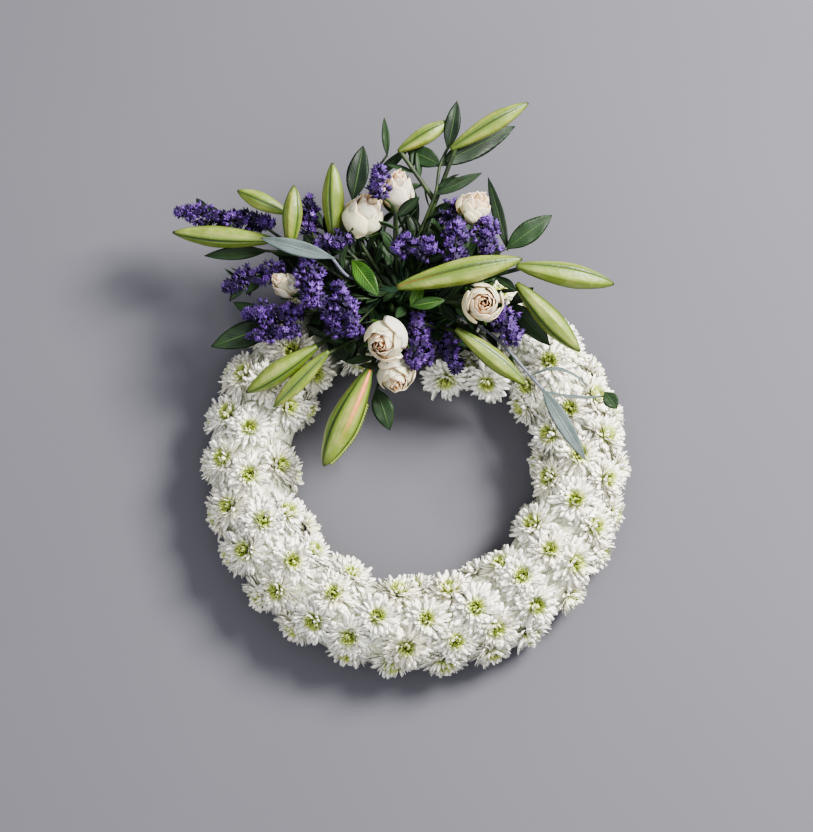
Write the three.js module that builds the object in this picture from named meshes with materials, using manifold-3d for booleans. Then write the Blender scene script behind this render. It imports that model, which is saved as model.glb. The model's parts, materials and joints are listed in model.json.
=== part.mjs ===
// A funeral wreath: a ring of wet foam in a plastic tray, massed with white spray chrysanthemums, and a spray of
// lily buds, roses, sea lavender and foliage whose stems stand in a block of foam on top of the ring.
// Millimetres, +Z up. It lies on its tray, and the origin is under the middle of its outline.
import * as THREE from "three";
import { mergeGeometries, mergeVertices } from "three/addons/utils/BufferGeometryUtils.js";
import Module from "manifold-3d";

const wasm = await Module();
wasm.setup();

// Driving dimensions of the ring.
const RING_RADIUS = 165;
const RING_FACETS = 24;
const FOAM_HALF_WIDTH = 26;
const FOAM_TOP = 46;
const FOAM_CHAMFER = 7;
const TRAY_FLOOR = 2;
const TRAY_WALL = 2.4;
const TRAY_HEIGHT = 14;
const GAP = 0.4;

// The massed flowers: rows of heads round the ring's cross-section, each at its own lean from the horizontal.
const SECTORS = 12;
const HEAD_ROWS = [
  { lean: 10, count: 26 },
  { lean: 50, count: 25 },
  { lean: 91, count: 21 },
  { lean: 133, count: 17 },
  { lean: 172, count: 12 },
];
const MASS_CENTRE_HEIGHT = 28;
const MASS_REACH = 43;
const HEAD_RADIUS = 21;
const HEAD_DEPTH = 14;
const HEAD_PETALS = 6;
const HEAD_STEM = { radius: 1.7, length: 40 };

// The block of foam that holds the spray, and the stretch of ring that the spray hides.
const SPRAY_ANGLE = 96;
const SPRAY_BARE = 27;
const BLOCK = { width: 46, length: 64, height: 50 };
const HOLE_PITCH = 8;
const STEM_DEPTH = 12;

const radians = THREE.MathUtils.degToRad;
const UP = new THREE.Vector3(0, 0, 1);

// The wreath is drawn as seen from this far off straight above. A spot is a point by how far across and up it shows
// from the ring's centre, seen that way, and by its height above the surface.
const VIEW_LEAN = radians(16);
function spot([across, up, height]) {
  const back = (up - height * Math.sin(VIEW_LEAN)) / Math.cos(VIEW_LEAN);
  return new THREE.Vector3(across, back, height);
}

// A number from -1 to 1 that depends only on which piece asks and what for.
function scatter(index, purpose) {
  const wave = Math.sin(index * 12.9898 + purpose * 78.233) * 43758.5453;
  return 2 * (wave - Math.floor(wave)) - 1;
}

// How far one angle is ahead of another, from -180 to 180 degrees.
function ahead(angle, of) {
  return THREE.MathUtils.euclideanModulo(angle - of + 180, 360) - 180;
}

const colours = {
  tray: new THREE.MeshStandardMaterial({ color: 0x2c4a34, roughness: 0.55 }),
  foam: new THREE.MeshStandardMaterial({ color: 0x2f6b45, roughness: 0.95 }),
  chrysanthemum: new THREE.MeshStandardMaterial({ color: 0xeeeee6, roughness: 0.7 }),
  lily: new THREE.MeshStandardMaterial({ color: 0xb4c47a, roughness: 0.5 }),
  rose: new THREE.MeshStandardMaterial({ color: 0xece3d2, roughness: 0.6 }),
  statice: new THREE.MeshStandardMaterial({ color: 0x56408f, roughness: 0.8 }),
  foliage: new THREE.MeshStandardMaterial({ color: 0x2e5a34, roughness: 0.45 }),
  silver: new THREE.MeshStandardMaterial({ color: 0x8f9c8e, roughness: 0.6 }),
};

const wreath = new THREE.Group();

// A closed geometry as a solid, turned the right way out.
function solid(geometry) {
  const bare = new THREE.BufferGeometry();
  bare.setAttribute("position", geometry.getAttribute("position"));
  bare.setIndex(geometry.getIndex());
  const merged = mergeVertices(bare, 1e-4);
  const kept = [];
  const index = merged.getIndex().array;
  for (let i = 0; i < index.length; i += 3) {
    const [a, b, c] = index.slice(i, i + 3);
    if (a !== b && b !== c && c !== a) kept.push(a, b, c);
  }
  const build = (triangles) => {
    const vertProperties = merged.getAttribute("position").array;
    return new wasm.Manifold(new wasm.Mesh({ numProp: 3, vertProperties, triVerts: new Uint32Array(triangles) }));
  };
  const made = build(kept);
  return made.volume() > 0 ? made : build(kept.reverse());
}

function join(solids) {
  return solids.reduce((whole, piece) => whole.add(piece));
}

// Adds a solid to the wreath as a named mesh, without any scrap that a cut has set loose.
function place(name, whole, material) {
  const body = whole.decompose().reduce((a, b) => (a.volume() > b.volume() ? a : b));
  const { vertProperties, triVerts } = body.getMesh();
  const geometry = new THREE.BufferGeometry();
  geometry.setAttribute("position", new THREE.BufferAttribute(new Float32Array(vertProperties), 3));
  geometry.setIndex(new THREE.BufferAttribute(new Uint32Array(triVerts), 1));
  geometry.computeVertexNormals();
  const mesh = new THREE.Mesh(geometry, material);
  mesh.name = name;
  wreath.add(mesh);
}

// A closed skin of rings between two poles: at(ring, side) gives each point, and its first and last rings are poles.
function skin(rings, sides, at) {
  const outline = Array.from({ length: rings }, (_, ring) => {
    return new THREE.Vector2(ring === 0 || ring === rings - 1 ? 0 : 1, ring);
  });
  const geometry = new THREE.LatheGeometry(outline, sides);
  const position = geometry.getAttribute("position");
  for (let i = 0; i < position.count; i += 1) {
    const point = at(i % rings, Math.floor(i / rings) % sides);
    position.setXYZ(i, point.x, point.y, point.z);
  }
  return solid(geometry);
}

// The directions sideways from and above a curve at a share of its length.
function frameAt(curve, share, above) {
  const along = curve.getTangent(share);
  const aside = new THREE.Vector3().crossVectors(along, above).normalize();
  return { aside, over: new THREE.Vector3().crossVectors(aside, along) };
}

// A body along a curve. Each station is [share of the length, radius], and relief() scales the radius.
function sweep(curve, stations, sides, above, relief = () => 1) {
  const rings = [[stations[0][0], 0], ...stations, [stations.at(-1)[0], 0]];
  return skin(rings.length, sides, (ring, side) => {
    const [share, radius] = rings[ring];
    const { aside, over } = frameAt(curve, share, above);
    const turn = (2 * Math.PI * side) / sides;
    const reach = radius * relief(side, ring);
    return curve
      .getPoint(share)
      .addScaledVector(aside, reach * Math.cos(turn))
      .addScaledVector(over, reach * Math.sin(turn));
  });
}

// A direction square to the plane that a line of points bends in, or to the line if it is straight.
function squareTo(points) {
  const first = points[1].clone().sub(points[0]).normalize();
  const last = points.at(-1).clone().sub(points[0]).normalize();
  const square = first.cross(last);
  if (square.length() > 0.05) return square.normalize();
  return Math.abs(last.z) < 0.8 ? UP : new THREE.Vector3(1, 0, 0);
}

// A stem through a list of points, with a ring of its skin at each of them.
function stalk(points, radius, above = squareTo(points)) {
  const last = points.length - 1;
  const curve = last === 1 ? new THREE.LineCurve3(...points) : new THREE.CatmullRomCurve3(points, false, "chordal");
  return sweep(curve, points.map((_, i) => [i / last, radius]), 4, above);
}

// A leaf's blade from its root to its tip, arched upwards and folded a little along its middle. Both faces have the
// same triangles, and they meet along the leaf's edge.
const LEAF_SHAPE = [
  [0, 0],
  [0.05, 0.14],
  [0.27, 0.8],
  [0.52, 1],
  [0.78, 0.62],
  [1, 0],
];
const LEAF_THICKNESS = 1.6;
function blade(root, tip, { width, lift, above, fold }) {
  const middle = root.clone().lerp(tip, 0.5).addScaledVector(above, 2 * lift);
  const curve = new THREE.QuadraticBezierCurve3(root, middle, tip);
  const rows = LEAF_SHAPE.length - 1;
  const faces = [1, -1].map((face) => {
    const sheet = new THREE.PlaneGeometry(2, rows, 2, rows);
    const position = sheet.getAttribute("position");
    for (let i = 0; i < position.count; i += 1) {
      const across = position.getX(i);
      const [share, girth] = LEAF_SHAPE[Math.round(rows / 2 - position.getY(i))];
      const { aside, over } = frameAt(curve, share, above);
      const half = (girth * width) / 2;
      const skinned = girth === 0 ? 0 : 0.5 * face * LEAF_THICKNESS * (1 - Math.abs(across));
      const point = curve
        .getPoint(share)
        .addScaledVector(aside, half * across)
        .addScaledVector(over, half * fold * Math.abs(across) + skinned);
      position.setXYZ(i, point.x, point.y, point.z);
    }
    if (face < 0) sheet.getIndex().array.reverse();
    return sheet;
  });
  return solid(mergeGeometries(faces));
}

// The tray and the foam ring in it are turned, and so is the mass of calyces and short stems over them, an arch that
// the flower heads stand out of.
function around(profile) {
  const closed = [...profile, profile[0]].map(([radius, height]) => new THREE.Vector2(radius, height));
  return solid(new THREE.LatheGeometry(closed, RING_FACETS).rotateX(Math.PI / 2));
}
const inside = RING_RADIUS - FOAM_HALF_WIDTH;
const outside = RING_RADIUS + FOAM_HALF_WIDTH;
const trayInside = inside - GAP - TRAY_WALL;
const trayOutside = outside + GAP + TRAY_WALL;
const tray = around([
  [trayInside, 0],
  [trayOutside, 0],
  [trayOutside, TRAY_HEIGHT],
  [outside + GAP, TRAY_HEIGHT],
  [outside + GAP, TRAY_FLOOR],
  [inside - GAP, TRAY_FLOOR],
  [inside - GAP, TRAY_HEIGHT],
  [trayInside, TRAY_HEIGHT],
]);
const foamRing = around([
  [inside, TRAY_FLOOR + GAP],
  [outside, TRAY_FLOOR + GAP],
  [outside, FOAM_TOP - FOAM_CHAMFER],
  [outside - FOAM_CHAMFER, FOAM_TOP],
  [inside + FOAM_CHAMFER, FOAM_TOP],
  [inside, FOAM_TOP - FOAM_CHAMFER],
]);
const arch = around([
  [trayOutside + GAP, 9],
  [trayOutside + 10, 14],
  [trayOutside + 9, 36],
  [outside, 57],
  [RING_RADIUS, 64],
  [inside, 57],
  [trayInside - 9, 36],
  [trayInside - 10, 14],
  [trayInside - GAP, 9],
  [trayInside - GAP, FOAM_TOP - FOAM_CHAMFER],
  [inside + FOAM_CHAMFER, FOAM_TOP + GAP],
  [outside - FOAM_CHAMFER, FOAM_TOP + GAP],
  [trayOutside + GAP, FOAM_TOP - FOAM_CHAMFER],
]);
const ringHoles = [];

// The block on top of the foam ring, and the rows of places on its top and sides where a stem can go in.
const blockCentre = new THREE.Vector3(RING_RADIUS, 0, FOAM_TOP + GAP + BLOCK.height / 2);
const atSpray = (point) => point.applyAxisAngle(UP, radians(SPRAY_ANGLE));
function blockSolid(swell) {
  const extra = 2 * swell;
  const box = new THREE.BoxGeometry(BLOCK.width + extra, BLOCK.length + extra, BLOCK.height + extra);
  box.translate(blockCentre.x, 0, blockCentre.z);
  return solid(box.rotateZ(radians(SPRAY_ANGLE)));
}
const sockets = [];
for (let across = -3; across <= 3; across += 1) {
  for (let along = -3; along <= 3; along += 1) {
    const [x, y] = [HOLE_PITCH * across, HOLE_PITCH * along];
    if (Math.abs(across) <= 2) sockets.push({ point: [x, y, BLOCK.height / 2], out: [0, 0, 1] });
  }
}
for (const side of [-1, 1]) {
  for (const z of [-3, 5]) {
    for (const y of [-2, -1, 0, 1, 2]) {
      sockets.push({ point: [(side * BLOCK.width) / 2, HOLE_PITCH * y, z], out: [side, 0, 0] });
    }
    for (const x of [-2, -1, 0, 1, 2]) {
      sockets.push({ point: [HOLE_PITCH * x, (side * BLOCK.length) / 2, z], out: [0, side, 0] });
    }
  }
}
const heart = atSpray(blockCentre.clone().setZ(blockCentre.z - 6));
for (const socket of sockets) {
  socket.point = atSpray(new THREE.Vector3(...socket.point).add(blockCentre));
  socket.out = atSpray(new THREE.Vector3(...socket.out));
  socket.bearing = socket.point.clone().sub(heart).normalize();
}
const sprayHoles = [];

// The line of a stem of the spray: it goes into the free place that lies nearest its own bearing, square to the foam.
function sprayPath(points, radius) {
  const bearing = points[0].clone().sub(heart).normalize();
  const free = sockets.filter(({ taken }) => !taken);
  const socket = free.reduce((a, b) => (a.bearing.dot(bearing) > b.bearing.dot(bearing) ? a : b));
  socket.taken = true;
  const foot = socket.point.clone().addScaledVector(socket.out, -STEM_DEPTH);
  const exit = socket.point.clone().addScaledVector(socket.out, 2);
  const bottom = foot.clone().addScaledVector(socket.out, -2 * GAP);
  const path = [foot, exit, ...points];
  sprayHoles.push(stalk([bottom, exit], radius + 1.5 * GAP, squareTo(path)));
  return path;
}
function sprayStem(points, radius) {
  return stalk(sprayPath(points, radius), radius);
}

// One chrysanthemum head: two whorls of pointed petals round a dimple, facing along a direction.
const HEAD_RINGS = [
  { tip: [0, -1], notch: [0, -1] },
  { tip: [1, -0.1], notch: [0.68, -0.3] },
  { tip: [0.36, 0.16], notch: [0.6, 0.5] },
  { tip: [0, 0.12], notch: [0, 0.12] },
];
function head({ centre, facing, size, spin }) {
  const aim = new THREE.Quaternion().setFromUnitVectors(UP, facing);
  return skin(HEAD_RINGS.length, 2 * HEAD_PETALS, (ring, side) => {
    const [radius, depth] = side % 2 ? HEAD_RINGS[ring].notch : HEAD_RINGS[ring].tip;
    const turn = spin + (Math.PI * side) / HEAD_PETALS;
    const point = new THREE.Vector3(Math.cos(turn), Math.sin(turn), 0).multiplyScalar(radius * size);
    return point.setZ(depth * HEAD_DEPTH).applyQuaternion(aim).add(centre);
  });
}

// Heads that hang into the hole below the spray, and the leaves on the bare top by sector, as steps round the ring.
const HANGING_HEADS = [
  { at: [31, 93, 58], facing: [0.05, -0.8, 0.6], size: 21 },
  { at: [72, 90, 58], facing: [-0.2, -0.75, 0.62], size: 20 },
];
const LOW_LEAVES = { 0: [-10.5, -3.5, 3.5, 10.5], 1: [-10.5, -4], 11: [4, 10.5] };
const LOW_LEAF = { inner: 44, outer: 84, height: 57, rise: 6, width: 26 };

// Where each head sits: even steps round every row, a little off true, and none on top under the spray.
function headPlaces() {
  const places = [];
  HEAD_ROWS.forEach(({ lean, count }, row) => {
    const onTop = row > 0 && row < HEAD_ROWS.length - 1;
    for (let step = 0; step < count; step += 1) {
      const index = 100 * row + step;
      const angle = (360 / count) * (step + 0.5 * (row % 2) + 0.12 * scatter(index, 1));
      if (onTop && Math.abs(ahead(angle, SPRAY_ANGLE)) < SPRAY_BARE) continue;
      const tilt = radians(lean + 4 * scatter(index, 2));
      const facing = new THREE.Vector3(Math.cos(tilt), 0, Math.sin(tilt));
      const reach = MASS_REACH + 1.5 * scatter(index, 3);
      const centre = new THREE.Vector3(RING_RADIUS, 0, MASS_CENTRE_HEIGHT).addScaledVector(facing, reach);
      places.push({
        angle,
        row,
        centre: centre.applyAxisAngle(UP, radians(angle)),
        facing: facing.applyAxisAngle(UP, radians(angle)),
        size: HEAD_RADIUS * (1 + 0.07 * scatter(index, 4)),
        spin: Math.PI * scatter(index, 5),
      });
    }
  });
  for (const { at, facing, size } of HANGING_HEADS) {
    const centre = spot(at);
    const angle = (Math.atan2(centre.y, centre.x) * 180) / Math.PI;
    const row = HEAD_ROWS.length;
    places.push({ angle, row, centre, facing: new THREE.Vector3(...facing).normalize(), size, spin: size });
  }
  return places;
}

// Dark leaves that lie over both edges of the ring where the spray leaves its top bare.
function lowLeaves(sector) {
  const leaves = [];
  LOW_LEAVES[sector]?.forEach((offset, step) => {
    for (const side of [-1, 1]) {
      const index = 10 * sector + 2 * step + side;
      const at = (reach, height) => {
        const point = new THREE.Vector3(RING_RADIUS + side * reach, 0, height);
        return point.applyAxisAngle(UP, radians(SPRAY_ANGLE + (360 / SECTORS) * sector + offset));
      };
      const reach = side < 0 ? LOW_LEAF.inner + 4 * scatter(index, 6) : LOW_LEAF.outer + 12 * scatter(index, 6);
      const height = LOW_LEAF.height + 3 * scatter(index, 7) + (side < 0 ? 0 : LOW_LEAF.rise);
      leaves.push(blade(at(6, 56), at(reach, height), { width: LOW_LEAF.width, lift: 4, above: UP, fold: 0.2 }));
    }
  });
  return leaves;
}

// A wedge of the whole ring between two angles.
function wedge(from, to) {
  const far = (angle) => new THREE.Vector2(300 * Math.cos(angle), 300 * Math.sin(angle));
  const outline = new THREE.Shape([new THREE.Vector2(0, 0), far(from), far(to)]);
  return solid(new THREE.ExtrudeGeometry(outline, { depth: 200, bevelEnabled: false }));
}

// The massed flowers in equal sectors, each held by two stems that stand in the foam ring.
function chrysanthemums() {
  const places = headPlaces();
  const step = 360 / SECTORS;
  const seam = GAP / RING_RADIUS;
  for (let i = 0; i < SECTORS; i += 1) {
    const middle = SPRAY_ANGLE + i * step;
    const offset = ({ angle }) => Math.abs(ahead(angle, middle));
    const near = places.filter((place) => offset(place) < step);
    const midmost = (rows) => near.filter((p) => rows.includes(p.row)).sort((a, b) => offset(a) - offset(b))[0];
    const stems = [midmost([0, 1]), midmost([3, 4])].map(({ centre, facing }) => {
      return [centre, centre.clone().addScaledVector(facing, -HEAD_STEM.length)];
    });
    const holes = stems.map(([top, foot]) => stalk([top, foot.clone().lerp(top, -0.02)], HEAD_STEM.radius + GAP));
    ringHoles.push(...holes);
    const slice = wedge(radians(middle - step / 2) + seam, radians(middle + step / 2) - seam);
    const hanging = near.filter((p) => p.row === HEAD_ROWS.length).map(({ centre, facing }) => {
      const root = new THREE.Vector3(centre.x, centre.y, 0).setLength(RING_RADIUS - 26).setZ(50);
      return stalk([centre.clone().addScaledVector(facing, -4), root], 4);
    });
    const massed = join([arch, ...near.map(head), ...hanging, ...lowLeaves(i)]);
    const flowers = massed.intersect(slice).subtract(blockSolid(GAP)).asOriginal().simplify(0.9);
    const whole = join([flowers, ...stems.map((ends) => stalk(ends, HEAD_STEM.radius))]);
    place(`chrysanthemums_${String(i + 1).padStart(2, "0")}`, whole, colours.chrysanthemum);
  }
}

// Lily buds: spindles with three ridges, one or two on a stem.
const BUD_SHAPE = [
  [0, 0.28],
  [0.14, 0.62],
  [0.42, 0.97],
  [0.66, 1],
  [0.88, 0.62],
  [1, 0.16],
];
function lily(name, buds) {
  const pieces = buds.map(({ from, to, width, sag = 0 }) => {
    const [start, end] = [spot(from), spot(to)];
    const middle = start.clone().lerp(end, 0.5).addScaledVector(UP, -2 * sag);
    const curve = new THREE.QuadraticBezierCurve3(start, middle, end);
    const stations = BUD_SHAPE.map(([share, girth]) => [share, (girth * width) / 2]);
    return sweep(curve, stations, 9, UP, (side) => (side % 3 === 0 ? 1 : 0.86));
  });
  const neck = (b) => spot(b.from).lerp(spot(b.to), 0.08);
  const path = sprayPath([...(buds[0].via ?? []).map(spot), neck(buds[0])], 2.4);
  pieces.push(stalk(path, 2.4));
  for (const b of buds.slice(1)) pieces.push(stalk([path.at(-2).clone().lerp(path.at(-1), b.fork), neck(b)], 2));
  place(name, join(pieces), colours.lily);
}

// Roses: wavy rims of petals one inside the other round a tight heart, over a bowl of outer petals.
const ROSE_RINGS = [
  { girth: 0, height: -1 },
  { girth: 0.42, height: -0.86 },
  { girth: 0.9, height: -0.3, flare: 0.04 },
  { girth: 1, height: 0.32, wave: 0.1, flare: 0.07 },
  { girth: 0.72, height: 0.18 },
  { girth: 0.66, height: 0.66, wave: -0.08, flare: -0.06 },
  { girth: 0.44, height: 0.4 },
  { girth: 0.34, height: 0.78, wave: 0.07, flare: 0.05 },
  { girth: 0, height: 0.5 },
];
const ROSE_SIDES = 10;
function rose(name, { centre, facing, radius, depth = 1, via = [] }) {
  const middle = spot(centre);
  const aim = new THREE.Quaternion().setFromUnitVectors(UP, new THREE.Vector3(...facing).normalize());
  const bloom = skin(ROSE_RINGS.length, ROSE_SIDES, (ring, side) => {
    const { girth, height, wave = 0, flare = 0 } = ROSE_RINGS[ring];
    const beat = side % 2 ? -1 : 1;
    const turn = (2 * Math.PI * side) / ROSE_SIDES;
    const reach = girth + beat * flare;
    const point = new THREE.Vector3(reach * Math.cos(turn), reach * Math.sin(turn), depth * (height + beat * wave));
    return point.multiplyScalar(radius).applyQuaternion(aim).add(middle);
  });
  const neck = new THREE.Vector3(0, 0, -0.85 * radius * depth).applyQuaternion(aim).add(middle);
  place(name, join([bloom, sprayStem([...via.map(spot), neck], 2.4)]), colours.rose);
}

// Sea lavender: spikes of small papery flowers, raised as points all over a slim spindle.
const SPIKE_SHAPE = [0.5, 0.95, 1, 0.9, 0.45];
function statice(name, spikes) {
  const last = SPIKE_SHAPE.length - 1;
  const pieces = spikes.map(({ from, to, width }) => {
    const stations = SPIKE_SHAPE.map((girth, i) => [i / last, (girth * width) / 2]);
    const florets = (side, ring) => ((side + ring) % 2 ? 0.66 : 1);
    return sweep(new THREE.LineCurve3(spot(from), spot(to)), stations, 8, UP, florets);
  });
  const neck = ({ from, to }) => spot(from).lerp(spot(to), 0.15);
  const fork = neck(spikes[0]);
  pieces.push(sprayStem([...(spikes[0].via ?? []).map(spot), fork], 1.6));
  for (const other of spikes.slice(1)) pieces.push(stalk([fork, neck(other)], 1.5));
  place(name, join(pieces), colours.statice);
}

// Foliage: blades that grow from the points of a stem.
const TO_VIEW = new THREE.Vector3(0, -Math.sin(VIEW_LEAN), Math.cos(VIEW_LEAN));
function sprig(name, { stem, leaves, radius = 1.5, material = colours.foliage }) {
  const points = stem.map(spot);
  const pieces = [sprayStem(points, radius)];
  for (const { on = points.length - 1, tip, width, lift = 4, facing, fold = 0.2 } of leaves) {
    const above = facing ? new THREE.Vector3(...facing).normalize() : TO_VIEW;
    const root = points[on].clone().lerp(spot(tip), -0.05);
    pieces.push(blade(root, spot(tip), { width, lift, above, fold }));
  }
  place(name, join(pieces), material);
}

chrysanthemums();

// Leaves that lie low over the ring, round three sides. Their stems go in first.
sprig("foliage_06", {
  stem: [[-92, 164, 79], [-138, 150, 90]],
  leaves: [
    { tip: [-203, 127, 88], width: 26 },
    { tip: [-182, 172, 84], width: 16, lift: 2 },
  ],
});
sprig("foliage_07", {
  stem: [[-84, 219, 73], [-150, 224, 84]],
  leaves: [{ tip: [-212, 219, 84], width: 14 }],
});
sprig("foliage_11", {
  stem: [[-38, 84, 82]],
  leaves: [{ tip: [-25, 44, 72], width: 21 }],
});
sprig("foliage_12", {
  stem: [[58, 148, 80], [96, 170, 100]],
  leaves: [
    { tip: [134, 128, 92], width: 20, lift: 3 },
    { tip: [118, 186, 104], width: 12 },
  ],
});
// The silvery leaf that trails over the ring at the right, with two narrow leaves that arch back from its stem.
sprig("foliage_13", {
  stem: [[72, 142, 94], [116, 96, 97], [126, 84, 98]],
  material: colours.silver,
  leaves: [
    { tip: [168, 14, 92], width: 17, lift: 5 },
    { on: 1, tip: [163, 98, 110], width: 6, lift: 8 },
    { tip: [190, 76, 98], width: 6, lift: 8 },
  ],
});

lily("lily_buds_01", [
  { from: [-140, 234, 105], to: [-243, 242, 98], width: 22, sag: 2 },
]);
lily("lily_buds_02", [
  { from: [-128, 261, 108], to: [-178, 284, 110], width: 19, via: [[-70, 236, 84]] },
]);
lily("lily_buds_03", [
  { from: [-124, 224, 122], to: [-120, 287, 140], width: 20 },
]);
lily("lily_buds_04", [
  { from: [-80, 229, 120], to: [-82, 309, 150], width: 22 },
]);
lily("lily_buds_05", [
  { from: [35, 324, 140], to: [113, 370, 150], width: 20, sag: -2 },
  { from: [-17, 322, 135], to: [35, 353, 137], width: 18, fork: 0.55 },
]);
lily("lily_buds_06", [
  { from: [-18, 184, 150], to: [105, 212, 158], width: 26, sag: -2 },
]);
lily("lily_buds_07", [
  { from: [100, 206, 140], to: [197, 189, 120], width: 25 },
]);
lily("lily_buds_08", [
  { from: [100, 189, 125], to: [163, 122, 103], width: 24 },
]);
lily("lily_buds_09", [
  { from: [40, 144, 120], to: [110, 89, 95], width: 20 },
]);
lily("lily_buds_10", [
  { from: [-97, 127, 108], to: [-167, 81, 91], width: 22 },
]);
lily("lily_buds_11", [
  { from: [-85, 122, 110], to: [-140, 67, 92], width: 18 },
]);
lily("lily_buds_12", [
  { from: [-45, 104, 118], to: [-90, 9, 98], width: 31 },
]);

rose("rose_1", { centre: [-17, 284, 122], facing: [0.1, 0.5, 0.85], radius: 20 });
rose("rose_2", { centre: [-50, 259, 140], facing: [0.35, 0.35, 0.85], radius: 23 });
rose("rose_3", { centre: [61, 268, 119], facing: [0.5, 0.5, 0.7], radius: 21 });
rose("rose_4", { centre: [66, 169, 148], facing: [0.05, -0.25, 0.96], radius: 23 });
rose("rose_5", { centre: [-30, 131, 140], facing: [-0.1, -0.45, 0.9], radius: 24 });
rose("rose_6", { centre: [-19, 96, 100], facing: [0.1, -0.8, 0.55], radius: 22 });
rose("rose_7", { centre: [-130, 189, 112], facing: [-0.5, 0.2, 0.8], radius: 13, depth: 1.5, via: [[-72, 162, 90]] });

statice("statice_01", [
  { from: [-145, 252, 90], to: [-235, 263, 92], width: 20 },
]);
statice("statice_02", [
  { from: [-132, 206, 101], to: [-187, 187, 99], width: 22 },
]);
statice("statice_03", [
  { from: [-112, 162, 108], to: [-166, 160, 108], width: 21 },
  { from: [-114, 144, 107], to: [-160, 138, 106], width: 18 },
]);
statice("statice_04", [
  { from: [-98, 165, 128], to: [-108, 213, 134], width: 26 },
]);
statice("statice_05", [
  { from: [-58, 138, 122], to: [-76, 186, 128], width: 22 },
  { from: [-74, 136, 118], to: [-90, 170, 122], width: 18 },
]);
statice("statice_06", [
  { from: [2, 160, 114], to: [-1, 110, 115], width: 21 },
  { from: [12, 150, 96], to: [12, 112, 94], width: 17 },
  { from: [26, 146, 92], to: [40, 106, 92], width: 20 },
]);
statice("statice_07", [
  { from: [84, 165, 112], to: [98, 134, 112], width: 24 },
]);
statice("statice_08", [
  { from: [72, 218, 122], to: [72, 252, 128], width: 25 },
]);
statice("statice_09", [
  { from: [38, 209, 130], to: [42, 249, 138], width: 26 },
  { from: [26, 250, 106], to: [40, 272, 108], width: 17 },
]);
statice("statice_10", [
  { from: [20, 224, 136], to: [-18, 226, 142], width: 24 },
]);
statice("statice_11", [
  { from: [-36, 272, 166], to: [-34, 300, 172], width: 20, via: [[-20, 262, 150]] },
]);
statice("statice_12", [
  { from: [-104, 240, 116], to: [-106, 272, 124], width: 19 },
  { from: [-100, 228, 130], to: [-66, 233, 136], width: 15 },
]);

// Broad dark leaves behind the roses at the top, and the tall sprig beside them.
sprig("foliage_01", {
  stem: [[-62, 276, 112]],
  leaves: [{ tip: [-52, 329, 122], width: 22 }],
});
sprig("foliage_02", {
  stem: [[20, 279, 122], [25, 309, 128], [33, 326, 132]],
  leaves: [
    { on: 1, tip: [-9, 326, 120], width: 20, lift: 2 },
    { on: 1, tip: [101, 350, 112], width: 24, lift: 1 },
    { on: 0, tip: [67, 301, 124], width: 12, lift: 2 },
    { tip: [42, 373, 142], width: 16 },
  ],
});
sprig("foliage_03", {
  stem: [[-44, 294, 104], [-28, 320, 112]],
  radius: 1.2,
  leaves: [
    { tip: [-31, 359, 116], width: 8, lift: 2 },
    { on: 0, tip: [-4, 330, 108], width: 10 },
  ],
});
sprig("foliage_04", {
  stem: [[-4, 236, 84]],
  leaves: [{ tip: [-12, 306, 90], width: 24 }],
});
sprig("foliage_05", {
  stem: [[92, 226, 104]],
  leaves: [
    { tip: [137, 259, 108], width: 22 },
    { tip: [74, 300, 84], width: 12, lift: 2 },
  ],
});
sprig("foliage_08", {
  stem: [[-66, 196, 120], [-82, 214, 144]],
  material: colours.silver,
  leaves: [{ tip: [-153, 234, 138], width: 16, lift: 3 }],
});
// Bright leaves in the middle, and small ones beside the rose and under the lily buds.
sprig("foliage_09", {
  stem: [[-50, 212, 106], [-62, 212, 120]],
  leaves: [{ tip: [-36, 176, 126], width: 20 }],
});
sprig("foliage_10", {
  stem: [[-4, 166, 134]],
  leaves: [
    { tip: [30, 172, 138], width: 13 },
    { tip: [8, 190, 136], width: 13 },
  ],
});
const middle = new THREE.Box3().setFromObject(wreath).getCenter(new THREE.Vector3());
place("tray", tray, colours.tray);
place("foam_ring", foamRing.subtract(join(ringHoles)), colours.foam);
place("spray_foam", blockSolid(0).subtract(join(sprayHoles)), colours.foam);
wreath.position.set(-middle.x, -middle.y, 0);

export default wreath;
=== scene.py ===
"""A funeral wreath: white spray chrysanthemums massed on a ring of wet foam, with a spray of lily buds,
roses, sea lavender and leaves at its top. Metres, +Z up; it lies flat on its tray."""

import json
import math
import random

import bpy
import numpy as np
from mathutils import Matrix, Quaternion, Vector

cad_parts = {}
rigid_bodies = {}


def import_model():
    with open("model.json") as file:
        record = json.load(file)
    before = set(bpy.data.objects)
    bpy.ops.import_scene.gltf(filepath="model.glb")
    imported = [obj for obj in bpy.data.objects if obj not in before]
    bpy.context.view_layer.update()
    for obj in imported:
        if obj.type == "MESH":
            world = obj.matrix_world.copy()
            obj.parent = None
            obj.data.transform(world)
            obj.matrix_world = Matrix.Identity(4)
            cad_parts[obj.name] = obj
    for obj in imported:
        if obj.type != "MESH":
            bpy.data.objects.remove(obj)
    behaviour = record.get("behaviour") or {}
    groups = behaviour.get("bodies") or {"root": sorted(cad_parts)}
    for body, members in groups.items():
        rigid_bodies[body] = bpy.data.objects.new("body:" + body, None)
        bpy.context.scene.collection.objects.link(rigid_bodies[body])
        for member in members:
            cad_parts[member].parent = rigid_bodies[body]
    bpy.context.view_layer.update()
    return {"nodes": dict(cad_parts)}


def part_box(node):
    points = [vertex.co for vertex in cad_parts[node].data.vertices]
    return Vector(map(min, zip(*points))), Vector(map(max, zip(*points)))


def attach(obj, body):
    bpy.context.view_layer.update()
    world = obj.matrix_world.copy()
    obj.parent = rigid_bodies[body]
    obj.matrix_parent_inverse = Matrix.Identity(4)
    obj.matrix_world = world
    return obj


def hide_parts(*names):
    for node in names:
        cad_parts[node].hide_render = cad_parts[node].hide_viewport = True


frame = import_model()
tray_low, tray_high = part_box("tray")
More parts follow.
